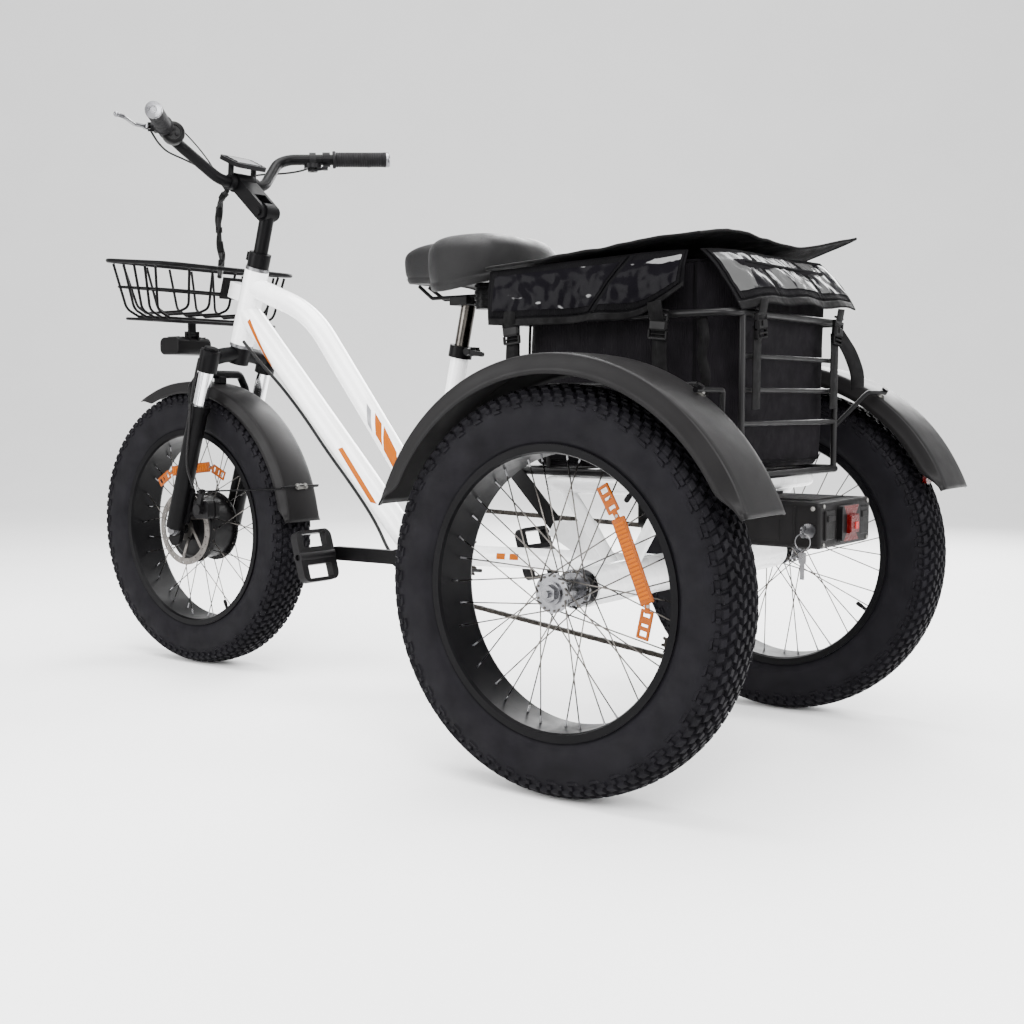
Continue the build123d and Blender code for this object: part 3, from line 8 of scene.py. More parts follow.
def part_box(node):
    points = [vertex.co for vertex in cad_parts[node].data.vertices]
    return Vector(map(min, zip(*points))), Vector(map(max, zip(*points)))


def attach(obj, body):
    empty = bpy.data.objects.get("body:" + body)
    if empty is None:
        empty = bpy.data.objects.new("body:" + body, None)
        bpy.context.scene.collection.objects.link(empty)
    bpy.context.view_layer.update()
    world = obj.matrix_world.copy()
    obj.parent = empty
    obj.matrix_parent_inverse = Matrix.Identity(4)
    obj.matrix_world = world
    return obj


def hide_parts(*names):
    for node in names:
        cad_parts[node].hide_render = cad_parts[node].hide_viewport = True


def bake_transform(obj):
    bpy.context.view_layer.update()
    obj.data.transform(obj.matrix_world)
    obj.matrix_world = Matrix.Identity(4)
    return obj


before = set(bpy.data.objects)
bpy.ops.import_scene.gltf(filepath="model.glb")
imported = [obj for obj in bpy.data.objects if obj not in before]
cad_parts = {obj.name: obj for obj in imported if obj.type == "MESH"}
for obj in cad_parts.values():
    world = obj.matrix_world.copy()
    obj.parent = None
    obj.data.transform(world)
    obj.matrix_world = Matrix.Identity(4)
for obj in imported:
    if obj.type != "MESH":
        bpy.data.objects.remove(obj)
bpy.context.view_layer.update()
random.seed(7)


# ---------------------------------------------------------------- the frame's own sizes
def centre(node):
    """The middle of a CAD node's box."""
    low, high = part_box(node)
    return (low + high) / 2


FRONT_AXLE = centre("front_tyre")
REAR_LEFT = centre("rear_left_tyre")
REAR_RIGHT = centre("rear_right_tyre")
REAR_X = REAR_LEFT.x
WHEEL_R = (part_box("front_tyre")[1].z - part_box("front_tyre")[0].z) / 2
HEAD_ANGLE = math.radians(71.5)
STEER_UP = Vector((-math.cos(HEAD_ANGLE), 0, math.sin(HEAD_ANGLE)))
STEER_AHEAD = Vector((math.sin(HEAD_ANGLE), 0, math.cos(HEAD_ANGLE)))


def at(x, y, z):
    """A point given in millimetres from the rear axle's vertical, as the CAD gives it."""
    return Vector((REAR_X + x / 1000, y / 1000, z / 1000))


def along(up, ahead=0.0, y=0.0):
    """A point up the steering axis from the front axle, in millimetres."""
    return FRONT_AXLE + (STEER_UP * up + STEER_AHEAD * ahead + Vector((0, y, 0))) / 1000


# ---------------------------------------------------------------- materials
def new_material(name, color, rough, metallic=0.0, coat=0.0, coat_rough=0.1, sheen=0.0, shine=0.5):
    """A Principled material, and its shader node; shine is the specular level."""
    m = bpy.data.materials.new(name)
    m.use_nodes = True
    p = m.node_tree.nodes["Principled BSDF"]
    p.inputs["Base Color"].default_value = (*color, 1)
    p.inputs["Roughness"].default_value = rough
    p.inputs["Metallic"].default_value = metallic
    p.inputs["Coat Weight"].default_value = coat
    p.inputs["Coat Roughness"].default_value = coat_rough
    p.inputs["Sheen Weight"].default_value = sheen
    p.inputs["Specular IOR Level"].default_value = shine
    return m, p


def texture(m, kind, scale, detail=3.0, stretch=(1, 1, 1), turn=(0, 0, 0)):
    """A texture node in object coordinates; scale is in cells per metre."""
    nodes, links = m.node_tree.nodes, m.node_tree.links
    coord = nodes.new("ShaderNodeTexCoord")
    mapping = nodes.new("ShaderNodeMapping")
    mapping.inputs["Scale"].default_value = stretch
    mapping.inputs["Rotation"].default_value = turn
    links.new(coord.outputs["Object"], mapping.inputs["Vector"])
    tex = nodes.new(kind)
    tex.inputs["Scale"].default_value = scale
    if "Detail" in tex.inputs:
        tex.inputs["Detail"].default_value = detail
    links.new(mapping.outputs["Vector"], tex.inputs["Vector"])
    return tex


def ramp(m, source, low, high, at_low=0.3, at_high=0.7):
    """Maps a texture's value to a colour or a grey between two stops."""
    node = m.node_tree.nodes.new("ShaderNodeValToRGB")
    stops = node.color_ramp.elements
    stops[0].position, stops[1].position = at_low, at_high
    stops[0].color = (*low, 1) if isinstance(low, tuple) else (low, low, low, 1)
    stops[1].color = (*high, 1) if isinstance(high, tuple) else (high, high, high, 1)
    m.node_tree.links.new(source, node.inputs["Fac"])
    return node.outputs["Color"]


def value_of(tex):
    """A texture's main value output."""
    for name in ("Fac", "Distance", "Color"):
        if name in tex.outputs:
            return tex.outputs[name]
    return tex.outputs[0]


def vary(m, p, low, high, scale, at_low=0.35, at_high=0.65, detail=4.0, stretch=(1, 1, 1)):
    """Cloudy colour variation."""
    tex = texture(m, "ShaderNodeTexNoise", scale, detail, stretch)
    m.node_tree.links.new(ramp(m, value_of(tex), low, high, at_low, at_high), p.inputs["Base Color"])


def wear(m, p, low, high, scale, at_low=0.3, at_high=0.7, detail=5.0, stretch=(1, 1, 1)):
    """Roughness that changes over the surface, as handling and dust leave it."""
    tex = texture(m, "ShaderNodeTexNoise", scale, detail, stretch)
    m.node_tree.links.new(ramp(m, value_of(tex), low, high, at_low, at_high), p.inputs["Roughness"])


def bump(m, p, layers):
    """Stacks bump layers: (texture kind, cells per metre, height in metres, stretch)."""
    nodes, links = m.node_tree.nodes, m.node_tree.links
    last = None
    for kind, scale, height, stretch in layers:
        tex = texture(m, kind, scale, 2.0, stretch)
        node = nodes.new("ShaderNodeBump")
        node.inputs["Strength"].default_value = 1.0
        node.inputs["Distance"].default_value = height
        links.new(value_of(tex), node.inputs["Height"])
        if last is not None:
            links.new(last.outputs["Normal"], node.inputs["Normal"])
        last = node
    links.new(last.outputs["Normal"], p.inputs["Normal"])


NOISE, CELLS, WAVE = "ShaderNodeTexNoise", "ShaderNodeTexVoronoi", "ShaderNodeTexWave"
EVEN = (1, 1, 1)


def painted(name, low, high, rough, coat=0.5, shine=0.5):
    """Paint or lacquer with a faint orange peel."""
    m, p = new_material(name, high, rough, coat=coat, coat_rough=0.12, shine=shine)
    vary(m, p, low, high, 9, 0.3, 0.6)
    wear(m, p, rough * 0.85, rough * 1.25, 40)
    bump(m, p, [(NOISE, 650, 0.00004, EVEN), (NOISE, 60, 0.00006, EVEN)])
    return m


def plastic(name, low, high, rough, grain=900, height=0.00005, shine=0.14):
    """Moulded plastic with a fine pebbled grain."""
    m, p = new_material(name, high, rough, shine=shine)
    vary(m, p, low, high, 14)
    wear(m, p, rough * 0.85, min(1, rough * 1.2), 60)
    bump(m, p, [(CELLS, grain, height, EVEN)])
    return m


def metal(name, low, high, rough, scale=30, brushed=(1, 1, 1), height=0.00003):
    """Bare or plated metal, brushed where it is stretched."""
    m, p = new_material(name, high, rough, metallic=1.0)
    vary(m, p, low, high, scale, 0.3, 0.7)
    wear(m, p, rough * 0.7, rough * 1.5, 55)
    bump(m, p, [(NOISE, 380, height, brushed)])
    return m


white_paint = painted("white_frame_paint", (0.80, 0.80, 0.80), (0.87, 0.87, 0.875), 0.25, coat=0.8)
orange_decal = painted("orange_decal", (0.26, 0.058, 0.0), (0.29, 0.066, 0.0), 0.4, coat=0.0, shine=0.06)
grey_decal = painted("grey_decal", (0.16, 0.16, 0.17), (0.20, 0.20, 0.21), 0.3, coat=0.1)
black_paint = painted("satin_black_paint", (0.0012, 0.0011, 0.0013), (0.0022, 0.0021, 0.0024), 0.36,
                      coat=0.01, shine=0.055)
rim_black = painted("rim_black", (0.0013, 0.0012, 0.0015), (0.0022, 0.0021, 0.0025), 0.34,
                    coat=0.01, shine=0.05)
rack_black = painted("rack_black", (0.0032, 0.0030, 0.0033), (0.0052, 0.0050, 0.0053), 0.38,
                     coat=0.02, shine=0.13)
chrome = metal("chromed_stanchion", (0.78, 0.78, 0.80), (0.86, 0.86, 0.87), 0.07)
alloy = metal("polished_alloy", (0.10, 0.10, 0.105), (0.22, 0.22, 0.23), 0.24, scale=60, brushed=(1, 6, 1))
steel = metal("machined_steel", (0.10, 0.10, 0.105), (0.20, 0.20, 0.205), 0.28, brushed=(1, 8, 1))
zinc = metal("zinc_fasteners", (0.14, 0.137, 0.13), (0.26, 0.255, 0.24), 0.30)
spoke_steel = metal("spoke_steel", (0.055, 0.050, 0.046), (0.13, 0.12, 0.11), 0.30)
disc_steel = metal("brake_disc_steel", (0.09, 0.083, 0.078), (0.15, 0.14, 0.13), 0.34, scale=80)
dark_steel = metal("oiled_chain_steel", (0.008, 0.0072, 0.0064), (0.030, 0.027, 0.024), 0.38, scale=120)
smoked_chrome = metal("dark_chromed_post", (0.030, 0.027, 0.025), (0.085, 0.078, 0.070), 0.16, scale=40)
black_plastic = plastic("moulded_black_plastic", (0.0025, 0.0023, 0.0026), (0.0045, 0.0043, 0.0047), 0.42,
                        shine=0.09)
smooth_plastic = plastic("smooth_black_plastic", (0.0018, 0.0016, 0.0018), (0.0032, 0.0030, 0.0032), 0.34,
                         grain=500, height=0.00001, shine=0.08)
battery_case = plastic("battery_case", (0.0034, 0.0032, 0.0033), (0.006, 0.0056, 0.0058), 0.46,
                       grain=1400, height=0.00006, shine=0.07)
motor_black = painted("motor_black", (0.0022, 0.0020, 0.0023), (0.0040, 0.0038, 0.0041), 0.36,
                      coat=0.01, shine=0.10)
hose_black = plastic("cable_housing", (0.003, 0.0028, 0.003), (0.0055, 0.0052, 0.0055), 0.36, 700, 0.00002)


def rubber_material():
    m, p = new_material("tyre_rubber", (0.0042, 0.0039, 0.0050), 0.56, shine=0.06)
    vary(m, p, (0.0028, 0.0026, 0.0034), (0.0052, 0.0048, 0.0062), 22, 0.3, 0.7)
    wear(m, p, 0.50, 0.74, 35)
    bump(m, p, [(NOISE, 900, 0.00010, EVEN), (NOISE, 90, 0.00025, EVEN)])
    return m


def grip_material():
    m, p = new_material("grip_rubber", (0.006, 0.0055, 0.0063), 0.58, shine=0.10)
    vary(m, p, (0.0040, 0.0037, 0.0042), (0.0070, 0.0066, 0.0074), 50)
    wear(m, p, 0.48, 0.7, 90)
    bump(m, p, [(CELLS, 1100, 0.00012, EVEN)])
    return m


def fender_material():
    m, p = new_material("mudguard_satin", (0.0050, 0.0047, 0.0050), 0.42, shine=0.095)
    vary(m, p, (0.0038, 0.0035, 0.0037), (0.0058, 0.0054, 0.0056), 6)
    wear(m, p, 0.36, 0.48, 25)
    bump(m, p, [(NOISE, 1500, 0.00004, EVEN), (NOISE, 25, 0.00015, EVEN)])
    return m


def vinyl_material():
    m, p = new_material("saddle_vinyl", (0.0024, 0.0022, 0.0024), 0.36, shine=0.16)
    vary(m, p, (0.0018, 0.0016, 0.0018), (0.0030, 0.0028, 0.0031), 18)
    wear(m, p, 0.34, 0.50, 30)
    bump(m, p, [(CELLS, 820, 0.00028, EVEN), (NOISE, 240, 0.0002, EVEN)])
    return m


def cloth_material(name, low, high, threads=900, depth=0.00022, creases=0.0012, rough=0.78):
    """A plain weave from two crossed wave textures, with soft creases under it."""
    m, p = new_material(name, high, rough, sheen=0.004, shine=0.04)
    p.inputs["Sheen Roughness"].default_value = 0.45
    vary(m, p, low, high, 26, 0.3, 0.7)
    wear(m, p, rough * 0.85, min(1.0, rough * 1.12), 60)
    nodes, links = m.node_tree.nodes, m.node_tree.links
    crease = texture(m, NOISE, 24, 5.0)
    last = nodes.new("ShaderNodeBump")
    last.inputs["Distance"].default_value = creases
    links.new(value_of(crease), last.inputs["Height"])
    for turn in ((0, 0, math.radians(45)), (0, 0, math.radians(-45)), (math.radians(90), 0, 0)):
        wave = texture(m, WAVE, threads / 6.3, 0.0, EVEN, turn)
        node = nodes.new("ShaderNodeBump")
        node.inputs["Distance"].default_value = depth
        links.new(value_of(wave), node.inputs["Height"])
        links.new(last.outputs["Normal"], node.inputs["Normal"])
        last = node
    links.new(last.outputs["Normal"], p.inputs["Normal"])
    return m


def clear_vinyl_material(name, coat, shine, glints, lit, stretch, painted_glint_grey):
    """Clear sheet over dark cloth: nearly black, with a few thin painted glints: a noise mask paints lighter
    grey streaks into the base colour, standing in for light off its creases.
    """
    m, p = new_material(name, (0.003, 0.0028, 0.0036), 0.2, coat=coat, coat_rough=0.06, shine=shine)
    tex = texture(m, NOISE, glints, 2.5, stretch)
    # Painted highlight: the ramp paints the glint streaks into the base colour, from the dark sheet to a
    # light grey.
    colour = ramp(m, value_of(tex), (0.0026, 0.0023, 0.0032), painted_glint_grey, lit, lit + 0.022)
    m.node_tree.links.new(colour, p.inputs["Base Color"])
    bump(m, p, [(NOISE, 14, 0.0004, (1, 1, 0.5))])
    return m


def lens_material(name, low, high, cells):
    """A moulded lens with small cells that catch the light."""
    m, p = new_material(name, high, 0.25, coat=0.04, coat_rough=0.08, shine=0.12)
    tex = texture(m, CELLS, cells)
    m.node_tree.links.new(ramp(m, value_of(tex), high, low, 0.1, 0.6), p.inputs["Base Color"])
    bump(m, p, [(CELLS, cells, 0.0005, EVEN)])
    return m


def webbing_material():
    m, p = new_material("webbing", (0.0025, 0.0023, 0.0026), 0.60, sheen=0.004, shine=0.06)
    vary(m, p, (0.0014, 0.0013, 0.0014), (0.0036, 0.0034, 0.0037), 70)
    wear(m, p, 0.5, 0.72, 120)
    bump(m, p, [(WAVE, 95, 0.0004, (0.2, 0.2, 1)), (NOISE, 900, 0.0001, EVEN)])
    return m


tyre_rubber = rubber_material()
grip_rubber = grip_material()
mudguard = fender_material()
saddle_vinyl = vinyl_material()
bag_cloth = cloth_material("bag_nylon", (0.0032, 0.0028, 0.0035), (0.0056, 0.0049, 0.0060), creases=0.0006)
lid_cloth = cloth_material("lid_nylon", (0.0012, 0.0011, 0.0014), (0.0024, 0.0022, 0.0027), creases=0.0008)
# Both windows carry painted glints in their base colour: thin streaks on the sides, broad vertical ones on
# the rear.
window_vinyl = clear_vinyl_material("side_vinyl_window", 0.01, 0.02, 17, 0.645, (1.0, 1.0, 2.4), 0.14)
rear_vinyl = clear_vinyl_material("rear_vinyl_window", 0.02, 0.03, 9, 0.50, (1.0, 1.7, 0.16), 0.045)
webbing = webbing_material()
red_lens = lens_material("red_reflector", (0.050, 0.001, 0.001), (0.150, 0.006, 0.005), 260)
orange_lens = lens_material("orange_reflector", (0.20, 0.042, 0.0), (0.29, 0.068, 0.0), 300)
bright_red = lens_material("lit_red_cell", (0.22, 0.006, 0.006), (0.32, 0.02, 0.018), 500)
screen_glass, _p = new_material("display_glass", (0.006, 0.007, 0.008), 0.08, coat=1.0)
wear(screen_glass, _p, 0.05, 0.14, 60)
lamp_lens, _p = new_material("lamp_lens", (0.75, 0.77, 0.8), 0.1, coat=1.0)
bump(lamp_lens, _p, [(CELLS, 220, 0.0008, EVEN)])

# ---------------------------------------------------------------- materials of the CAD nodes that stay
KEEP = {
    white_paint: ["frame"],
    black_paint: ["front_basket", "fork_crown", "fork_lowers", "stem_post", "stem_arm", "handlebar",
                  "seat_clamp", "brake_perches", "crank_set", "fender_brackets", "seat_lever",
                  "saddle_frame"],
    rack_black: ["rear_rack"],
    rim_black: ["front_rim", "rear_left_rim", "rear_right_rim"],
    chrome: ["fork_stanchions"],
    smoked_chrome: ["seat_post"],
    alloy: ["rear_left_hub", "rear_right_hub", "brake_lever_left", "brake_lever_right"],
    steel: ["bearings", "front_axle", "battery_key", "key_ring"],
    disc_steel: ["brake_rotor"],
    dark_steel: ["chainring", "freewheel", "derailleur"],
    motor_black: ["hub_motor", "brake_caliper"],
    black_plastic: ["display", "thumb_shifter", "shift_lever", "pedal_left", "pedal_right"],
    smooth_plastic: ["headlight"],
    battery_case: ["battery_box", "motor_controller"],
    red_lens: ["rear_reflectors"],
}
for material, names in KEEP.items():
    for name in names:
        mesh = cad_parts[name].data
        mesh.materials.clear()
        mesh.materials.append(material)


# ---------------------------------------------------------------- mesh helpers
def piece(name, verts, faces, material, body, slot, smooth=True):
    """Makes a mesh piece in the row frame that rides on a body."""
    mesh = bpy.data.meshes.new(name)
    mesh.from_pydata([tuple(v) for v in verts], [], faces)
    mesh.materials.append(material)
    mesh.polygons.foreach_set("use_smooth", [smooth] * len(mesh.polygons))
    mesh.update()
    obj = bpy.data.objects.new(name, mesh)
    bpy.context.scene.collection.objects.link(obj)
    if body:
        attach(obj, body)
    return obj


def sharp_at(obj, degrees):
    """Shades smooth except over edges that turn by more than an angle."""
    mesh = obj.data
    mesh.update()
    counts = {}
    for poly in mesh.polygons:
        for key in poly.edge_keys:
            counts.setdefault(key, []).append(poly.normal.copy())
    sharp = []
    for edge in mesh.edges:
        normals = counts.get(tuple(sorted(edge.vertices)), [])
        flat = len(normals) == 2 and normals[0].length and normals[1].length
        sharp.append(bool(flat and normals[0].angle(normals[1]) > math.radians(degrees)))
    attribute = mesh.attributes.get("sharp_edge") or mesh.attributes.new("sharp_edge", "BOOLEAN", "EDGE")
    attribute.data.foreach_set("value", sharp)
    return obj


def finish_mesh(obj, subdivide=0, solid=0.0, offset=-1.0):
    """Applies thickness and subdivision to a piece's mesh."""
    if solid:
        mod = obj.modifiers.new("thick", "SOLIDIFY")
        mod.thickness, mod.offset = solid, offset
    if subdivide:
        mod = obj.modifiers.new("smooth", "SUBSURF")
        mod.levels = mod.render_levels = subdivide
    graph = bpy.context.evaluated_depsgraph_get()
    baked = bpy.data.meshes.new_from_object(obj.evaluated_get(graph))
    obj.modifiers.clear()
    old = obj.data
    obj.data = baked
    bpy.data.meshes.remove(old)
    return obj


def grid_faces(rows, cols, wrap_rows=False, wrap_cols=False):
    """Quads over a grid of vertices listed row by row."""
    faces = []
    for i in range(rows if wrap_rows else rows - 1):
        for j in range(cols if wrap_cols else cols - 1):
            a = i * cols + j
            b = i * cols + (j + 1) % cols
            c = ((i + 1) % rows) * cols + (j + 1) % cols
            d = ((i + 1) % rows) * cols + j
            faces.append((a, b, c, d))
    return faces


def basis(axis):
    """Two directions square to an axis."""
    axis = Vector(axis).normalized()
    side = axis.orthogonal().normalized()
    return side, axis.cross(side)


def turned(profile, origin, axis, count=48, closed=False):
    """Verts and faces of a profile of (distance along, radius) turned about an axis."""
    origin, axis = Vector(origin), Vector(axis).normalized()
    u, v = basis(axis)
    verts = []
    for k in range(count):
        a = 2 * math.pi * k / count
        ring = u * math.cos(a) + v * math.sin(a)
        verts += [origin + axis * d + ring * r for d, r in profile]
    return verts, grid_faces(count, len(profile), wrap_rows=True, wrap_cols=closed)


def merge(parts):
    """Joins (verts, faces) pairs into one."""
    verts, faces = [], []
    for v, f in parts:
        n = len(verts)
        verts += v
        faces += [tuple(i + n for i in face) for face in f]
    return verts, faces


def chamfered(size, edge, place=None):
    """A block with cut corners on all edges, as (verts, faces)."""
    hx, hy, hz = (s / 2 for s in size)
    verts, faces, index = [], [], {}
    signs = [(sx, sy, sz) for sx in (1, -1) for sy in (1, -1) for sz in (1, -1)]
    for s in signs:
        for axis in range(3):
            p = [s[0] * (hx - edge), s[1] * (hy - edge), s[2] * (hz - edge)]
            p[axis] = s[axis] * (hx, hy, hz)[axis]
            index[s, axis] = len(verts)
            verts.append(Vector(p))
    for axis in range(3):
        a, b = [k for k in range(3) if k != axis]
        for sign in (1, -1):
            loop = []
            for sa, sb in ((1, 1), (-1, 1), (-1, -1), (1, -1)):
                s = [0, 0, 0]
                s[axis], s[a], s[b] = sign, sa, sb
                loop.append(index[tuple(s), axis])
            outward = sign if axis != 1 else -sign
            faces.append(tuple(loop) if outward > 0 else tuple(reversed(loop)))
    for s in signs:
        faces.append((index[s, 0], index[s, 1], index[s, 2]))
    for axis in range(3):
        a, b = [k for k in range(3) if k != axis]
        for sa in (1, -1):
            for sb in (1, -1):
                s1, s2 = [0, 0, 0], [0, 0, 0]
                s1[axis], s2[axis] = 1, -1
                s1[a], s2[a], s1[b], s2[b] = sa, sa, sb, sb
                s1, s2 = tuple(s1), tuple(s2)
                faces.append((index[s1, a], index[s1, b], index[s2, b], index[s2, a]))
    if place is not None:
        verts = [place @ v for v in verts]
    return verts, faces


def recalc(obj, weld=0.0):
    """Turns a piece's faces outward, after welding vertices closer than a distance."""
    bm = bmesh.new()
    bm.from_mesh(obj.data)
    if weld:
        bmesh.ops.remove_doubles(bm, verts=bm.verts, dist=weld)
    bmesh.ops.recalc_face_normals(bm, faces=bm.faces)
    bm.to_mesh(obj.data)
    bm.free()
    return obj


def fitting(name, parts, material, body, slot):
    """A piece with flat faces, made of several parts."""
    return recalc(piece(name, *merge(parts), material, body, slot, smooth=False))


def rounded_fitting(name, parts, material, body, slot):
    """A turned piece made of several parts, smooth except over its sharp edges."""
    return recalc(sharp_at(piece(name, *merge(parts), material, body, slot), 40))


def pose(origin, x_axis, z_axis):
    """A placement with its x and z directions given."""
    x = Vector(x_axis).normalized()
    z = Vector(z_axis).normalized()
    y = z.cross(x).normalized()
    x = y.cross(z).normalized()
    m = Matrix((x, y, z)).transposed().to_4x4()
    m.translation = Vector(origin)
    return m


def cable(name, points, radius, material, body, mesh_it=False):
    """A cable on one smooth NURBS line."""
    curve = bpy.data.curves.new(name, "CURVE")
    curve.dimensions = "3D"
    spline = curve.splines.new("NURBS")
    spline.points.add(len(points) - 1)
    for target, point in zip(spline.points, points):
        target.co = (*point, 1)
    spline.order_u = 3
    spline.use_endpoint_u = True
    spline.resolution_u = 10
    curve.bevel_depth = radius
    curve.bevel_resolution = 4
    curve.use_fill_caps = True
    curve.materials.append(material)
    obj = bpy.data.objects.new(name, curve)
    bpy.context.scene.collection.objects.link(obj)
    if mesh_it:
        graph = bpy.context.evaluated_depsgraph_get()
        graph.update()
        mesh = bpy.data.meshes.new_from_object(obj.evaluated_get(graph))
        bpy.data.objects.remove(obj)
        obj = bpy.data.objects.new(name, mesh)
        bpy.context.scene.collection.objects.link(obj)
    if body:
        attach(obj, body)
    return obj


def catmull(p0, p1, p2, p3, t):
    """The Catmull-Rom point at share t of the way from p1 to p2."""
    return [0.5 * (2 * b + (c - a) * t + (2 * a - 5 * b + 4 * c - d) * t * t
                   + (3 * b - a - 3 * c + d) * t ** 3) for a, b, c, d in zip(p0, p1, p2, p3)]


def smooth_line(points, steps):
    """Points along a Catmull-Rom line through the given ones."""
    out = []
    n = len(points)
    for i in range(n - 1):
        p0, p1 = points[max(i - 1, 0)], points[i]
        p2, p3 = points[i + 1], points[min(i + 2, n - 1)]
        out += [tuple(catmull(p0, p1, p2, p3, k / steps)) for k in range(steps)]
    out.append(points[-1])
    return out


def bolt_head(place, r, height, washer=0.0):
    """A hexagon head with a washer, rising along z of its place."""
    parts = []
    if washer:
        parts.append(([place @ Vector((washer * math.cos(a), washer * math.sin(a), z))
                       for z in (0, 0.0012) for a in [math.pi * k / 12 for k in range(24)]],
                      grid_faces(2, 24, wrap_cols=True) + [tuple(range(24, 48))]))
    ring = [(r * math.cos(math.pi * k / 3), r * math.sin(math.pi * k / 3)) for k in range(6)]
    low = [place @ Vector((x, y, 0.0)) for x, y in ring]
    mid = [place @ Vector((x, y, height * 0.82)) for x, y in ring]
    top = [place @ Vector((x * 0.82, y * 0.82, height)) for x, y in ring]
    parts.append((low + mid + top, grid_faces(3, 6, wrap_cols=True) + [tuple(range(12, 18))]))
    return merge(parts)


# ---------------------------------------------------------------- tyres
def tyre_line():
    """The carcass from bead to crown as (radius, half width), in metres."""
    r = WHEEL_R
    keys = [(0.2075, 0.0375), (0.2150, 0.0375), (0.2185, 0.0398), (0.2300, 0.0452), (0.2525, 0.0479),
            (0.2700, 0.0468), (0.2820, 0.0424), (0.2890, 0.0330), (r - 0.0075, 0.0200), (r - 0.0062, 0.0)]
    half = smooth_line(keys, 5)
    return half + [(a, -b) for a, b in reversed(half[:-1])]


def carcass_point(t, line):
    """Point and outward normal on the tread part of the carcass; t is the distance from the crown."""
    half = [p for p in line if p[1] >= 0]
    half = list(reversed(half))
    walked = 0.0
    target = abs(t)
    for a, b in zip(half, half[1:]):
        step = math.hypot(b[0] - a[0], b[1] - a[1])
        if walked + step >= target:
            f = (target - walked) / step
            r, w = a[0] + (b[0] - a[0]) * f, a[1] + (b[1] - a[1]) * f
            nr, nw = (b[1] - a[1]) / step, -(b[0] - a[0]) / step
            sign = 1 if t >= 0 else -1
            return r, w * sign, nr, nw * sign
        walked += step
    r, w = half[-1]
    return r, w, 1, 0


def tyre_mesh():
    """Carcass, sidewall rings and chevron tread blocks, about the origin, turning about Y."""
    line = tyre_line()
    count = 144
    verts, faces = [], []
    loop = line + [(0.2150, -0.0322), (0.2500, -0.0430), (0.2790, -0.0380), (0.2880, -0.016), (0.2880, 0.016),
                   (0.2790, 0.0380), (0.2500, 0.0430), (0.2150, 0.0322)]
    for k in range(count):
        a = 2 * math.pi * k / count
        c, s = math.cos(a), math.sin(a)
        for r, w in loop:
            verts.append(Vector((r * c, w, r * s)))
    faces += grid_faces(count, len(loop), wrap_rows=True, wrap_cols=True)
    units = 92
    step = 2 * math.pi / units
    rng = random.Random(3)

    def block(angle, t, length, width, height, skew, top=0.74):
        """Adds one tread block, narrower at its top, at a distance t across from the crown."""
        base_r, base_w, nr, nw = carcass_point(t, line)
        tr, tw = -nw, nr
        corners = []
        for level, share in ((-0.0016, 1.12), (height, top)):
            for sx, sy in ((-1, -1), (1, -1), (1, 1), (-1, 1)):
                along_ = sx * length / 2 * share
                across = sy * width / 2 * share
                r = base_r + nr * level + tr * across
                w = base_w + nw * level + tw * across
                a = angle + (along_ + skew * across) / base_r
                corners.append(Vector((r * math.cos(a), w, r * math.sin(a))))
        n = len(verts)
        verts.extend(corners)
        faces.extend([(n + 4, n + 5, n + 6, n + 7), (n, n + 1, n + 5, n + 4), (n + 1, n + 2, n + 6, n + 5),
                      (n + 2, n + 3, n + 7, n + 6), (n + 3, n, n + 4, n + 7)])

    for k in range(units):
        a = k * step
        jig = rng.uniform(-0.0006, 0.0006)
        block(a, 0.0, 0.0145, 0.0080, 0.0058, 0.0)
        for side in (1, -1):
            block(a + step * 0.5, side * 0.0112, 0.0140, 0.0090, 0.0058, side * 0.55)
            block(a + step * 0.08, side * 0.0215, 0.0135, 0.0088, 0.0056, side * -0.5)
            block(a + step * 0.52, side * 0.0320, 0.0140, 0.0095, 0.0054, side * 0.5)
            block(a + step * 0.05, side * 0.0425, 0.0150, 0.0100, 0.0050, side * 0.35)
            block(a + step * 0.55, side * 0.0508 + jig, 0.0085, 0.0072, 0.0036, 0.0)
            if k % 2 == 0:
                block(a + step * 0.3, side * 0.0575, 0.0160, 0.0050, 0.0022, side * 0.8)
    mesh = bpy.data.meshes.new("fat_tyre")
    mesh.from_pydata([tuple(v) for v in verts], [], faces)
    n_carcass = count * len(loop)
    mesh.polygons.foreach_set("use_smooth", [i < n_carcass for i in range(len(mesh.polygons))])
    mesh.materials.append(tyre_rubber)
    mesh.update()
    return mesh


shared_tyre = tyre_mesh()
WHEELS = (("front", FRONT_AXLE, "front_wheel"), ("rear_left", REAR_LEFT, "rear_left_wheel"),
          ("rear_right", REAR_RIGHT, "rear_right_wheel"))
for label, hub, body in WHEELS:
    obj = bpy.data.objects.new(f"{label}_knobby_tyre", shared_tyre)
    bpy.context.scene.collection.objects.link(obj)
    obj.location = hub
    bpy.context.view_layer.update()
    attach(obj, body)
    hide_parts(f"{label}_tyre")
    if label == "front":
        recalc(obj)


# ---------------------------------------------------------------- spokes
def thin_rod(a, b, r, sides=7):
    """A wire from a to b, as (verts, faces)."""
    a, b = Vector(a), Vector(b)
    axis = b - a
    return turned([(0, r * 0.2), (0, r), (axis.length, r), (axis.length, r * 0.2)], a, axis, sides)


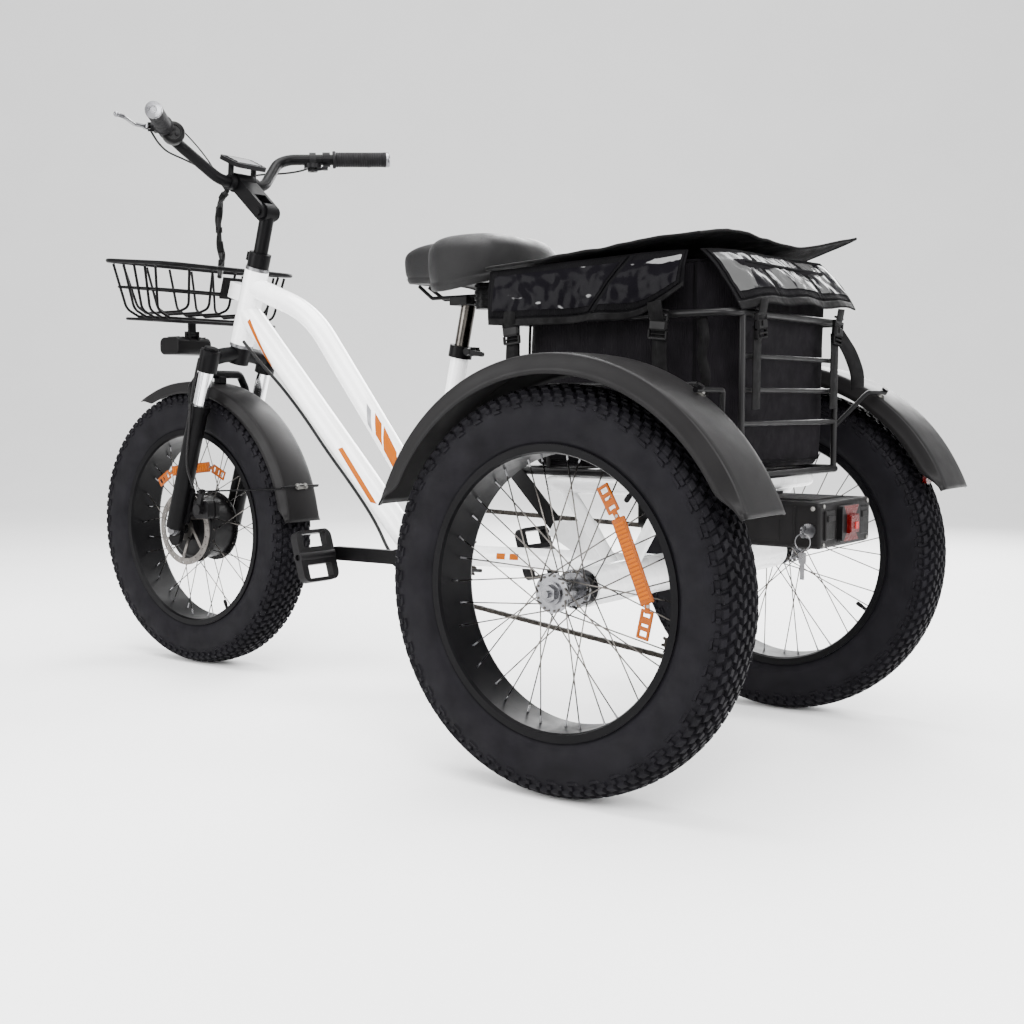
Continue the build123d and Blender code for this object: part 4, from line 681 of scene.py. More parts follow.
def spokes(label, hub, body, flange, hole_r, flange_t, crosses):
    """The laced wheel: spokes with heads at the flanges, and tapered nipples at the rim."""
    wires, nipples = [], []
    per_side = 18
    step = 2 * math.pi / per_side
    rim_r = (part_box(f"{label}_rim")[1].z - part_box(f"{label}_rim")[0].z) / 2 - 0.0135
    for outward in (1, -1):
        for i in range(per_side):
            lean = 1 if i % 2 == 0 else -1
            hub_a = step * (i + (0.0 if outward > 0 else 0.5))
            rim_a = hub_a + lean * step * crosses
            head = outward * flange + outward * lean * (flange_t / 2 + 0.0017)
            p = hub + Vector((hole_r * math.cos(hub_a), head, hole_r * math.sin(hub_a)))
            q = hub + Vector((rim_r * math.cos(rim_a), outward * 0.007, rim_r * math.sin(rim_a)))
            u = (p - q).normalized()
            wires.append(thin_rod(q + u * 0.010, p, 0.00105))
            elbow = p - Vector((0, outward * lean * (flange_t + 0.0024), 0))
            wires.append(thin_rod(p, elbow, 0.00105))
            wires.append(turned([(0, 0.0002), (0.0002, 0.0019), (0.0010, 0.0016), (0.0014, 0.0004)], elbow,
                                (0, -outward * lean, 0), 8))
            nipples.append(turned([(-0.003, 0.0006), (-0.003, 0.0022), (0.001, 0.0020), (0.002, 0.0016),
                                   (0.0105, 0.0014), (0.0112, 0.0009)], q, u, 8))
    obj = piece(f"{label}_spoke_wires", *merge(wires), spoke_steel, body, "spoke_steel")
    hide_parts(f"{label}_spokes")
    piece(f"{label}_nipples", *merge(nipples), steel, body, "spoke_steel")


spokes("front", FRONT_AXLE, "front_wheel", 0.030, 0.072, 0.004, 1)
spokes("rear_left", REAR_LEFT, "rear_left_wheel", 0.027, 0.0255, 0.004, 3)
spokes("rear_right", REAR_RIGHT, "rear_right_wheel", 0.027, 0.0255, 0.004, 3)


def wheel_reflector(label, hub, body, angle, radius, side, pads):
    """A moulded bar reflector with a slotted clip pad at each end, linked so that they follow the spokes.

    Each pad is (along the bar, outward from it, turn in degrees), from the bar's middle."""
    angle = math.radians(angle)
    out = Vector((math.cos(angle), 0, math.sin(angle)))
    run = Vector((-math.sin(angle), 0, math.cos(angle)))
    face = Vector((0, math.copysign(1, side), 0))
    middle = hub + out * radius + Vector((0, side, 0))

    def spot(u, w, turn, lift=0.0):
        t = math.radians(turn)
        return pose(middle + run * u + out * w + face * lift, run * math.cos(t) + out * math.sin(t), face)

    parts = [chamfered((0.126, 0.022, 0.0050), 0.0014, spot(0, 0, 0))]
    ribs = [chamfered((0.0036, 0.0155, 0.0014), 0.0005, spot(-0.054 + 0.006 * k, 0, 0, 0.0027))
            for k in range(19)]
    screws = []
    for u, w, turn in pads:
        end = math.copysign(1, u)
        c, t = math.cos(math.radians(turn)), math.sin(math.radians(turn))
        for v in (-0.0078, 0.0078):
            parts.append(chamfered((0.042, 0.0045, 0.0038), 0.001, spot(u - v * t, w + v * c, turn)))
        for d, wide in ((-0.0188, 0.0045), (-0.006 * end, 0.010), (0.006 * end, 0.006), (0.0188, 0.0045)):
            parts.append(chamfered((wide, 0.020, 0.0034), 0.001, spot(u + d * c, w + d * t, turn)))
        near = (u - end * 0.018 * c, w - end * 0.018 * t)
        far = (end * 0.060, 0.0)
        span = math.hypot(near[0] - far[0], near[1] - far[1])
        parts.append(chamfered((span + 0.004, 0.008, 0.0032), 0.001,
                               spot((near[0] + far[0]) / 2, (near[1] + far[1]) / 2,
                                    math.degrees(math.atan2(near[1] - far[1], near[0] - far[0])))))
        screws.append(bolt_head(spot(far[0] + end * 0.006, 0, 0, 0.0016), 0.0026, 0.0016))
    piece(f"{label}_wheel_reflector", *merge(parts), orange_lens, body, "spoke_steel", smooth=False)
    piece(f"{label}_reflector_ribs", *merge(ribs), orange_decal, body, "spoke_steel", smooth=False)
    piece(f"{label}_reflector_screws", *merge(screws), zinc, body, "spoke_steel", smooth=False)


wheel_reflector("rear_left", REAR_LEFT, "rear_left_wheel", 157, 0.141, 0.0195,
                [(-0.093, -0.005, 7), (0.088, -0.0155, -35)])
wheel_reflector("rear_right", REAR_RIGHT, "rear_right_wheel", 40, 0.141, -0.0195,
                [(-0.092, -0.012, 20), (0.092, -0.012, -20)])
wheel_reflector("front", FRONT_AXLE, "front_wheel", 84, 0.128, 0.0225,
                [(-0.092, -0.014, 26), (0.090, -0.014, -30)])


# ---------------------------------------------------------------- mudguards
def guard(name, node, hub, radius, half_w, drop, a0, a1, body, taper=9.0, bow=0.0015, flare=0.004):
    """A pressed mudguard: a shallow crown, a crisp fold and side flanges that fade out at the ends."""
    n = 90
    fold = 0.0022
    verts = []
    for i in range(n + 1):
        a = math.radians(a0 + (a1 - a0) * i / n)
        from_end = min(i, n - i) / n * (a1 - a0)
        f = min(1.0, from_end / taper)
        f = f * f * (3 - 2 * f)
        depth = drop * (0.10 + 0.90 * f)
        wide = half_w + 0.002 * (1 - f)
        section = []
        for k in range(13):
            y = -wide + 2 * wide * k / 12
            section.append((radius - bow * (y / wide) ** 2, y))
        left = [(radius - bow - fold * 0.4, wide + fold * 0.8),
                (radius - bow - fold * 1.6, wide + fold * 1.3)]
        for s in (0.35, 0.7, 1.0):
            left.append((radius - bow - fold - depth * s, wide + fold * 1.3 + flare * s * s + 0.003 * s))
        right = [(r, -y) for r, y in reversed(left)]
        ring = right + section + left
        for r, y in ring:
            verts.append(Vector((hub.x + r * math.cos(a), hub.y + y, hub.z + r * math.sin(a))))
    obj = piece(name, verts, grid_faces(n + 1, len(ring)), mudguard, body, "fender_plastic")
    finish_mesh(obj, solid=0.0026, offset=-1.0)
    recalc(obj)
    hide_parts(node)
    return obj


GUARD_HUB = at(-8, 0, 306)
for label, hub in (("left", REAR_LEFT), ("right", REAR_RIGHT)):
    spot = Vector((GUARD_HUB.x, hub.y, GUARD_HUB.z))
    guard(f"rear_guard_{label}", f"rear_fender_{label}", spot, 0.3375, 0.0515, 0.027, 19.2, 159.2,
          "frame_body")
guard("front_guard", "front_fender", FRONT_AXLE, 0.320, 0.040, 0.022, 62, 175, "fork_slider",
      taper=6.0, bow=0.003, flare=0.002)


def tube_mesh(points, r, sides=10, steps=6, sharp=False):
    """A round bar or hose along a smooth line, as (verts, faces)."""
    line = [Vector(p) for p in (points if sharp else smooth_line([tuple(p) for p in points], steps))]
    tangents = []
    for i in range(len(line)):
        a, b = line[max(i - 1, 0)], line[min(i + 1, len(line) - 1)]
        tangents.append((b - a).normalized())
    u = tangents[0].orthogonal().normalized()
    verts = []
    for p, t in zip(line, tangents):
        u = (u - t * u.dot(t)).normalized()
        v = t.cross(u)
        for k in range(sides):
            a = 2 * math.pi * k / sides
            verts.append(p + (u * math.cos(a) + v * math.sin(a)) * r)
    faces = grid_faces(len(line), sides, wrap_cols=True)
    n = (len(line) - 1) * sides
    faces += [tuple(reversed(range(sides))), tuple(range(n, n + sides))]
    return verts, faces


# ---------------------------------------------------------------- front mudguard stay
def stay_pieces():
    """The wire stay round the front mudguard's end, its clip and the tab under the crown."""
    angle = math.radians(162)
    end = FRONT_AXLE + Vector((math.cos(angle), 0, math.sin(angle))) * 0.3225
    root = along(96, -26)
    y = 0.064
    line = [(root.x, y, root.z), (end.x + 0.030, 0.0535, end.z - 0.004), (end.x + 0.004, 0.050, end.z),
            (end.x, 0.044, end.z + 0.001), (end.x, 0.0, end.z + 0.0015), (end.x, -0.044, end.z + 0.001),
            (end.x + 0.004, -0.050, end.z), (end.x + 0.030, -0.0535, end.z - 0.004), (root.x, -y, root.z)]
    v, f = tube_mesh(line, 0.0018)
    piece("mudguard_stay", v, f, black_paint, "fork_slider", "black_paint")
    out = Vector((math.cos(angle), 0, math.sin(angle)))
    parts = []
    for y in (-0.011, 0.011):
        spot = end + out * 0.0008 + Vector((0, y, 0))
        parts.append(bolt_head(pose(spot, (0, 1, 0), out), 0.0042, 0.0032, 0.0068))
    plate = pose(end + out * 0.0004, (0, 1, 0), out)
    parts.append(chamfered((0.030, 0.011, 0.0016), 0.0005, plate))
    fitting("stay_clip", parts, zinc, "fork_slider", "black_paint")
    tab = pose(at(1157.5, 0, 621), (1, 0, 0), (0, 0, 1))
    part = chamfered((0.021, 0.022, 0.018), 0.003, tab)
    fitting("guard_tab", [part], black_paint, "fork_slider", "fender_plastic")


stay_pieces()


def guard_bolts():
    """The bolts that hold the rear mudguards."""
    parts = []
    for hub, side in ((REAR_LEFT, 1), (REAR_RIGHT, -1)):
        for angle in (58, 124):
            a = math.radians(angle)
            out = Vector((math.cos(a), 0, math.sin(a)))
            spot = Vector((GUARD_HUB.x, hub.y - side * 0.044, GUARD_HUB.z)) + out * 0.3366
            parts.append(bolt_head(pose(spot, (0, 1, 0), out), 0.0058, 0.0052, 0.0090))
    fitting("guard_bolts", parts, zinc, "frame_body", "steel")


guard_bolts()


# ---------------------------------------------------------------- saddle
SADDLE_C = at(430, 0, 0)
SADDLE_HALF = [(607, 0), (604, 24), (585, 36), (550, 44), (516, 54), (493, 80), (474, 106),
               (444, 123), (412, 127), (375, 122), (345, 107), (330, 76), (324, 36), (323, 0)]


def saddle_radius():
    """The outline's distance from the saddle's centre for each direction, 0 at the nose."""
    half = smooth_line([(x - 430, y, 0) for x, y in SADDLE_HALF], 6)
    table = sorted((math.atan2(y, x), math.hypot(x, y) / 1000) for x, y, _ in half)

    def reach(angle):
        """The outline's radius in one direction, the same on both sides."""
        a = abs((angle + math.pi) % (2 * math.pi) - math.pi)
        for (a0, r0), (a1, r1) in zip(table, table[1:]):
            if a0 <= a <= a1:
                return r0 + (r1 - r0) * ((a - a0) / (a1 - a0) if a1 > a0 else 0)
        return table[-1][1]
    return reach


def saddle_heights(a):
    """The cushion's lowest edge, its top and its shoulder in one direction from the middle."""
    fold = abs((a + math.pi) % (2 * math.pi) - math.pi)
    back = max(0.0, -math.cos(a))
    wing = math.exp(-((fold - 1.50) / 0.85) ** 2)
    nose = max(0.0, math.cos(a)) ** 3
    low = SADDLE_LOW + 0.010 + 0.004 * nose + 0.008 * back ** 6 - 0.026 * wing
    top = SADDLE_TOP - 0.003 * nose + 0.001 * back
    return low, top, low + (top - low) * 0.60


def saddle():
    """The padded saddle, with the stitched seam round its side."""
    reach = saddle_radius()
    count = 120
    levels = [("top", h) for h in (0.0, 0.18, 0.36, 0.52, 0.66, 0.77, 0.86, 0.925, 0.968, 0.992)]
    levels += [("side", s) for s in (0.0, 0.18, 0.36, 0.52, 0.64, 0.70, 0.735, 0.77, 0.86, 0.95, 1.0)]
    levels += [("under", s) for s in (0.985, 0.95, 0.88, 0.72, 0.5, 0.25, 0.0)]
    verts = []
    for k in range(count):
        a = 2 * math.pi * k / count
        r_edge = reach(a)
        low, top, shoulder = saddle_heights(a)
        for kind, s in levels:
            if kind == "top":
                rise = (1 - s ** 4.2) ** (1 / 2.2)
                r = r_edge * s
                x, y = r * math.cos(a), r * math.sin(a)
                z = shoulder + (top - shoulder) * rise
                behind = max(0.0, min(1.0, (0.06 - x) / 0.09))
                z -= 0.0045 * math.exp(-(y / 0.020) ** 2) * behind * (1 - s ** 4)
            elif kind == "side":
                z = shoulder + (low - shoulder) * s
                r = r_edge * (1 - 0.055 * s ** 2.4)
                if 0.69 < s < 0.745:
                    r -= 0.0014
                if s > 0.97:
                    r -= 0.0020
            else:
                z = low + 0.002 + (SADDLE_LOW + 0.014 - low) * (1 - s) ** 0.55
                r = r_edge * 0.945 * s
            verts.append(SADDLE_C + Vector((r * math.cos(a), r * math.sin(a), z)))
    obj = piece("padded_saddle", verts, grid_faces(count, len(levels), wrap_rows=True), saddle_vinyl, "seat",
                "saddle_vinyl")
    recalc(obj, weld=0.00002)
    finish_mesh(obj, subdivide=1)
    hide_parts("saddle")
    stitches = []
    for k in range(0, 300, 2):
        a = 2 * math.pi * k / 300
        low, top, shoulder = saddle_heights(a)
        z = shoulder + (low - shoulder) * 0.80
        r = reach(a) * (1 - 0.055 * 0.80 ** 2.4) + 0.0002
        p = SADDLE_C + Vector((r * math.cos(a), r * math.sin(a), z))
        t = Vector((-math.sin(a), math.cos(a), 0))
        stitches.append(thin_rod(p - t * 0.0010, p + t * 0.0010, 0.0004, 5))
    piece("saddle_stitching", *merge(stitches), hose_black, "seat", "saddle_vinyl")


def saddle_clamp():
    """The black two-bolt clamp on top of the seat post."""
    low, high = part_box("seat_post")
    middle = Vector((low.x + 0.020, 0, high.z - 0.007))
    parts = [chamfered((0.0418, 0.0638, 0.0158), 0.0012, Matrix.Translation(middle))]
    for side in (1, -1):
        for dx in (-0.012, 0.012):
            spot = middle + Vector((dx, side * 0.024, 0.0074))
            parts.append(bolt_head(pose(spot, (1, 0, 0), (0, 0, 1)), 0.0040, 0.003))
    piece("saddle_clamp_block", *merge(parts), black_paint, "seat", "black_paint", smooth=False)


saddle_clamp()
SADDLE_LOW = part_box("saddle")[0].z - 0.002
SADDLE_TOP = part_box("saddle")[1].z
saddle()


# ---------------------------------------------------------------- cargo bag
BAG_LOW, BAG_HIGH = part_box("cargo_bag")


def bag_outline(n):
    """The bag's plan: softly rounded, with its rear corners cut across, as n points."""
    x0, x1, y = BAG_LOW.x + 0.004, BAG_HIGH.x - 0.002, BAG_HIGH.y - 0.003
    corners = [(x1 - 0.03, y), (x0 + 0.062, y), (x0, y - 0.040), (x0, -y + 0.014),
               (x0 + 0.014, -y), (x1 - 0.03, -y), (x1, -y + 0.03), (x1, y - 0.03)]
    dense = []
    for i, (ax, ay) in enumerate(corners):
        bx, by = corners[(i + 1) % len(corners)]
        length = math.hypot(bx - ax, by - ay)
        steps = max(2, int(length / 0.004))
        dense += [(ax + (bx - ax) * k / steps, ay + (by - ay) * k / steps) for k in range(steps)]
    for _ in range(3):
        m = len(dense)
        dense = [((dense[i - 1][0] + 2 * dense[i][0] + dense[(i + 1) % m][0]) / 4,
                  (dense[i - 1][1] + 2 * dense[i][1] + dense[(i + 1) % m][1]) / 4) for i in range(m)]
    return [dense[int(i * len(dense) / n)] for i in range(n)]


def soft_noise(p, size, seed=0.0):
    """Smooth noise about as wide as size, at a point."""
    return noise.noise(Vector((p[0] / size + seed, p[1] / size - seed, p[2] / size)))


def bag():
    """The open cloth bag with its soft folds, and the piping round its edges."""
    n, rows = 280, 66
    plan = bag_outline(n)
    cx, cy = (BAG_LOW.x + BAG_HIGH.x) / 2, 0.0
    tall = BAG_HIGH.z - BAG_LOW.z
    verts = []
    for j in range(rows):
        t = j / (rows - 1)
        z = BAG_LOW.z + 0.002 + tall * 0.985 * t
        pinch = 0.010 * math.exp(-t / 0.03)
        for x, y in plan:
            out = Vector((x - cx, y - cy, 0)).normalized()
            p = (x, y, z)
            fold = (0.0055 * (0.5 + soft_noise((x, y, z * 0.8), 0.10))
                    + 0.0012 * (0.5 + soft_noise(p, 0.035, 5)))
            sag = 0.006 * math.sin(math.pi * t) ** 2
            inward = max(0.0, pinch + max(0.0, fold) - sag * 0.4)
            verts.append(Vector((x, y, z)) - out * inward)
    faces = grid_faces(rows, n, wrap_cols=True)
    faces = [tuple(reversed(q)) for q in faces]
    verts_floor = len(verts)
    verts.append(Vector((cx, cy, BAG_LOW.z + 0.003)))
    faces += [(verts_floor, (i + 1) % n, i) for i in range(n)]
    obj = piece("soft_cargo_bag", verts, faces, bag_cloth, "frame_body", "bag_cloth")
    recalc(obj)
    finish_mesh(obj, solid=0.0016, offset=-1)
    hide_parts("cargo_bag")
    seams = []
    for z, inset, r in ((BAG_HIGH.z - 0.006, 0.0035, 0.0024), (BAG_LOW.z + 0.012, 0.006, 0.0022)):
        line = [Vector((x, y, z)) - Vector((x - cx, y, 0)).normalized() * inset for x, y in plan[::4]]
        seams.append(tube_mesh(line + line[:1], r, 8, sharp=True))
    x0, y = BAG_LOW.x + 0.004, BAG_HIGH.y - 0.003
    for cx_, cy_ in ((x0 + 0.060, y - 0.0015), (x0 + 0.010, -y + 0.0085), (BAG_HIGH.x - 0.014, y - 0.010),
                     (BAG_HIGH.x - 0.014, -y + 0.010)):
        out = Vector((cx_ - cx, cy_, 0)).normalized()
        line = []
        for j in range(16):
            z = BAG_LOW.z + 0.012 + (tall - 0.02) * j / 15
            fold = 0.0055 * (0.5 + soft_noise((cx_, cy_, z * 0.8), 0.10)) + 0.0012
            line.append(Vector((cx_, cy_, z)) - out * max(0.0, fold - 0.0025))
        seams.append(tube_mesh(line, 0.0023, 8, 3))
    piece("bag_piping", *merge(seams), lid_cloth, "frame_body", "bag_cloth")
    return obj


bag_piece = bag()


# ---------------------------------------------------------------- bag cover
def mix(a, b, t):
    """The value at share t of the way from a to b."""
    return a + (b - a) * t


def through(points, t):
    """A smooth point at share t of the way along some control points."""
    n = len(points) - 1
    i = min(int(t * n), n - 1)
    f = t * n - i
    p0, p1 = points[max(i - 1, 0)], points[i]
    p2, p3 = points[i + 1], points[min(i + 2, n)]
    return Vector(catmull(p0, p1, p2, p3, f))


def rows_of(*points):
    """Points given as at() takes them, as vectors."""
    return [at(*p) for p in points]


LEFT_TOP = rows_of((258, 201, 785), (160, 201, 789), (60, 200, 793), (-20, 199, 796), (-70, 198, 797),
                   (-106, 196, 796))
LEFT_LOW = rows_of((256, 208, 698), (190, 212, 695), (120, 210, 694), (60, 213, 697), (-20, 209, 700),
                   (-106, 207, 742))
REAR_TOP = rows_of((-118, 186, 797), (-122, 120, 802), (-124, 40, 804), (-124, -40, 804), (-126, -120, 805),
                   (-132, -204, 806))
REAR_LOW = rows_of((-192, 190, 707), (-199, 120, 716), (-203, 40, 721), (-204, -40, 722), (-202, -120, 724),
                   (-196, -212, 728))


def flap_point(top, low, u, v, puff, seed, sign):
    """A point on a hanging flap that bellies outward and creases."""
    a, b = through(top, u), through(low, u)
    p = a.lerp(b, v)
    out = (b - a).cross(through(top, min(1, u + 0.02)) - through(top, max(0, u - 0.02)))
    out = out.normalized() * sign
    belly = puff * math.sin(math.pi * min(1.0, v * 0.9 + 0.08)) * (0.75 + 0.5 * soft_noise(p, 0.11, seed))
    crease = (0.0030 * soft_noise((p.x, p.y, p.z * 0.5), 0.035, seed + 3)
              + 0.0016 * soft_noise(p, 0.016, seed + 9))
    hem = 0.0035 * math.sin(u * 19 + seed) * v * v
    return p + out * (belly + crease * (0.3 + 0.7 * math.sin(math.pi * v)) + hem * 0.8), out


def flap(name, top, low, puff, seed, sign, windows, ripple, cols=150, rows=34):
    """A hanging side of the cover, with its clear windows, their bindings and a hem."""
    clear = rear_vinyl if name == "rear" else window_vinyl
    sheet, faces = [], grid_faces(rows, cols)
    for j in range(rows):
        for i in range(cols):
            sheet.append(flap_point(top, low, i / (cols - 1), j / (rows - 1), puff, seed, sign)[0])
    obj = piece(f"{name}_flap", sheet, faces, lid_cloth, "bag_cover", "bag_cloth")
    finish_mesh(obj, solid=0.0014, offset=0)

    def patch(label, u0, u1, v0, v1, lift, material, ripple, nu, nv, thick):
        """A layer lifted off part of the flap, between two shares across and two down."""
        pts = []
        for j in range(nv):
            for i in range(nu):
                s, t = i / (nu - 1), j / (nv - 1)
                p, out = flap_point(top, low, mix(u0, u1, s), mix(v0, v1, t), puff, seed, sign)
                edge = min(1.0, 8 * min(s, 1 - s, t * 0.5, (1 - t) * 0.5))
                wave = ripple * edge * (soft_noise((p.x, p.y, p.z * 0.35), 0.042, seed + 20)
                                        + 0.35 * soft_noise((p.x, p.y, p.z * 0.6), 0.018, seed + 31))
                pts.append(p + out * (lift + wave))
        o = piece(f"{name}_{label}", pts, grid_faces(nv, nu), material, "bag_cover", "bag_cloth")
        if thick:
            finish_mesh(o, solid=thick, offset=1)

    for k, (u0, u1) in enumerate(windows):
        patch(f"window_{k}", u0, u1, 0.12, 0.76, 0.0034, clear, ripple, 90, 34, 0.0)
        w = 0.018
        for label, a, b, v0, v1, lift, nu, nv in (
                ("up", u0 - w * 0.5, u1 + w * 0.5, 0.03, 0.155, 0.0022, 60, 5),
                ("low", u0 - w * 0.5, u1 + w * 0.5, 0.74, 0.86, 0.0022, 60, 5),
                ("a", u0 - w, u0 + w * 0.6, 0.03, 0.86, 0.0026, 5, 30),
                ("b", u1 - w * 0.6, u1 + w, 0.03, 0.86, 0.0026, 5, 30)):
            patch(f"binding_{k}_{label}", a, b, v0, v1, lift, lid_cloth, 0.0, nu, nv, 0.0010)
    patch("hem", 0.002, 0.998, 0.885, 0.995, 0.0014, webbing, 0.0, 150, 6, 0.0012)


def mirrored(points):
    """The same points on the other side of the centre plane."""
    return [Vector((p.x, -p.y, p.z)) for p in points]


SIDE_WINDOWS = [(0.045, 0.55), (0.60, 0.955)]
REAR_WINDOWS = [(0.06, 0.30), (0.34, 0.68), (0.72, 0.95)]
flap("left", LEFT_TOP, LEFT_LOW, 0.008, 1.7, 1, SIDE_WINDOWS, 0.0010)
flap("rear", REAR_TOP, REAR_LOW, 0.009, 4.1, 1, REAR_WINDOWS, 0.0020)
flap("right", mirrored(LEFT_TOP), mirrored(LEFT_LOW), 0.008, 7.9, -1, SIDE_WINDOWS, 0.0014)

SHEET_LEFT = rows_of((264, 208, 790), (160, 209, 797), (79, 209, 803), (-29, 208, 813), (-90, 206, 820),
                     (-122, 196, 823))
SHEET_MID = rows_of((262, 0, 792), (160, 0, 801), (79, 0, 809), (-29, 0, 819), (-90, 0, 826), (-124, 0, 829))
SHEET_NEAR = rows_of((263, 110, 792), (160, 110, 800), (79, 110, 808), (-29, 110, 819), (-90, 110, 828),
                     (-124, 122, 832))
SHEET_FAR = rows_of((263, -110, 792), (160, -110, 800), (79, -110, 807), (-29, -110, 817), (-90, -110, 824),
                    (-134, -118, 828))
SHEET_RIGHT = rows_of((264, -208, 790), (160, -210, 797), (79, -211, 801), (-29, -212, 808),
                      (-110, -222, 822), (-176, -252, 852))


def cover_point(u, v):
    """A point on the cover's top sheet, across and back along it, each from 0 to 1."""
    lines = [through(line, u) for line in (SHEET_LEFT, SHEET_NEAR, SHEET_MID, SHEET_FAR, SHEET_RIGHT)]
    p = through(lines, v)
    inner = math.sin(math.pi * u) * math.sin(math.pi * v)
    p.z += -0.004 * inner + 0.0045 * soft_noise(p, 0.09, 2.2) + 0.0018 * soft_noise(p, 0.03, 6.1)
    p.z -= 0.003 * math.exp(-((v - 0.82) / 0.08) ** 2) * u ** 4
    return p


def cover():
    """The cover's top sheet and the binding round its four edges."""
    rows, cols = 110, 110
    verts = [cover_point(j / (rows - 1), i / (cols - 1)) for j in range(rows) for i in range(cols)]
    obj = piece("cover_sheet", verts, grid_faces(rows, cols), lid_cloth, "bag_cover", "bag_cloth")
    finish_mesh(obj, solid=0.0026, offset=0)
    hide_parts("bag_lid")
    share = [i / 80 for i in range(81)]
    edges = ([cover_point(1, t) for t in share], [cover_point(t, 0) for t in share],
             [cover_point(t, 1) for t in share], [cover_point(0, t) for t in share])
    binding = [tube_mesh(line, 0.0024, 8, sharp=True) for line in edges]
    piece("cover_binding", *merge(binding), webbing, "bag_cover", "bag_cloth")


cover()


# ---------------------------------------------------------------- straps and buckles
def strap(points, width, wide, thick=0.0015, steps=10):
    """Webbing along a line; wide is the direction across it."""
    line = [Vector(p) for p in smooth_line([tuple(p) for p in points], steps)]
    wide = Vector(wide).normalized()
    verts = []
    for i, p in enumerate(line):
        t = (line[min(i + 1, len(line) - 1)] - line[max(i - 1, 0)]).normalized()
        w = (wide - t * wide.dot(t)).normalized()
        out = w.cross(t)
        for a, b in ((-1, -1), (-0.9, 1), (0.9, 1), (1, -1)):
            verts.append(p + w * (a * width / 2) + out * (b * thick / 2))
    faces = grid_faces(len(line), 4, wrap_cols=True)
    n = 4 * (len(line) - 1)
    faces += [(0, 1, 2, 3), (n + 3, n + 2, n + 1, n)]
    return verts, faces


def side_release_buckle(place, w=0.034, h=0.036):
    """Both halves of a side-release buckle; x across, z up the strap, y outward."""
    parts = []

    def bit(x, y, z, sx, sy, sz, e=0.0012):
        parts.append(chamfered((sx, sy, sz), e, place @ Matrix.Translation((x, y, z))))
    bit(0, 0, -h * 0.08, w * 0.94, 0.0090, h * 0.46, 0.0030)
    bit(0, 0.0052, -h * 0.02, w * 0.30, 0.0020, h * 0.24, 0.0008)
    for s in (-1, 1):
        bit(s * w * 0.43, 0.0002, h * 0.22, w * 0.11, 0.0062, h * 0.28)
        bit(s * w * 0.44, 0, -h * 0.46, w * 0.10, 0.0060, h * 0.36)
    bit(0, 0.0004, -h * 0.62, w * 0.96, 0.0058, h * 0.10)
    bit(0, 0.0024, -h * 0.44, w * 0.80, 0.0044, h * 0.08)
    bit(0, 0, h * 0.36, w * 0.96, 0.0070, h * 0.14)
    bit(0, 0.0010, h * 0.56, w * 0.92, 0.0050, h * 0.09)
    return parts


def soft_fastenings():
    """The webbing that holds the bag to the rack, and the buckles on it."""
    webs, buckles = [], []
    for x, lean in ((-62, -1), (214, 1)):
        for s in (1, -1):
            y = s * 199.5
            webs.append(strap([at(x, y + s * 1, 682), at(x + 2, y + s * 1.5, 640), at(x - 1, y, 590),
                               at(x + 1, y - s * 0.4, 524)], 0.026, (1, 0, 0)))
            webs.append(strap([at(x - lean * 4, s * 214, 722), at(x - lean * 2, s * 213, 706),
                               at(x, s * 207, 688)], 0.025, (1, 0, 0)))
            tilt = Vector((0.10 * lean, 0, 1))
            buckles += side_release_buckle(pose(at(x, y + s * 6.5, 690), (-1, 0, 0), tilt))
    for s in (1, -1):
        x = -189.5
        y = s * 138
        webs.append(strap([at(x, y, 684), at(x - 1.5, y + 1, 660), at(x + 0.5, y - 2, 620),
                           at(x - 1, y + 1, 590), at(x, y, 562)], 0.026, (0, 1, 0)))
        webs.append(strap([at(-202, y, 724), at(-199, y, 708), at(-195, y, 692)], 0.025, (0, 1, 0)))
        buckles += side_release_buckle(pose(at(x - 6.0, y, 690), (0, 1, 0), (0, 0.12 * s, 1)))
    webs.append(strap([at(-193, -150, 684), at(-203, -172, 655), at(-206, -196, 622),
                       at(-200, -214, 596)], 0.024, (0.3, 0.55, 0.2)))
    webs.append(strap([at(-120, 181, 700), at(-128, 186, 670), at(-122, 182, 640), at(-131, 186, 610),
                       at(-124, 182, 575), at(-130, 186, 540)], 0.022, (1, -0.4, 0)))
    obj = piece("webbing_straps", *merge(webs), webbing, "frame_body", "bag_cloth")
    recalc(obj)
    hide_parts("bag_straps")
    fitting("strap_buckles", buckles, smooth_plastic, "frame_body", "black_plastic")


soft_fastenings()


# ---------------------------------------------------------------- decals on the tubes
def decal(name, a, b, r, corners, material, lift=0.00035, nu=26, nv=8):
    """A thin patch on a tube from a to b; corners are (metres along, degrees round from the top)."""
    a, b = Vector(a), Vector(b)
    axis = (b - a).normalized()
    up = Vector((0, 0, 1))
    up = (up - axis * up.dot(axis)).normalized()
    left = up.cross(axis)
    left = left if left.y > 0 else -left
    verts = []
    (s00, p00), (s10, p10), (s11, p11), (s01, p01) = corners
    for j in range(nv + 1):
        for i in range(nu + 1):
            u, v = i / nu, j / nv
            s = mix(mix(s00, s10, u), mix(s01, s11, u), v)
            phi = math.radians(mix(mix(p00, p10, u), mix(p01, p11, u), v))
            verts.append(a + axis * s + (up * math.cos(phi) + left * math.sin(phi)) * (r + lift))
    obj = piece(name, verts, grid_faces(nv + 1, nu + 1), material, "frame_body", "white_paint")
    recalc(obj)
    return obj


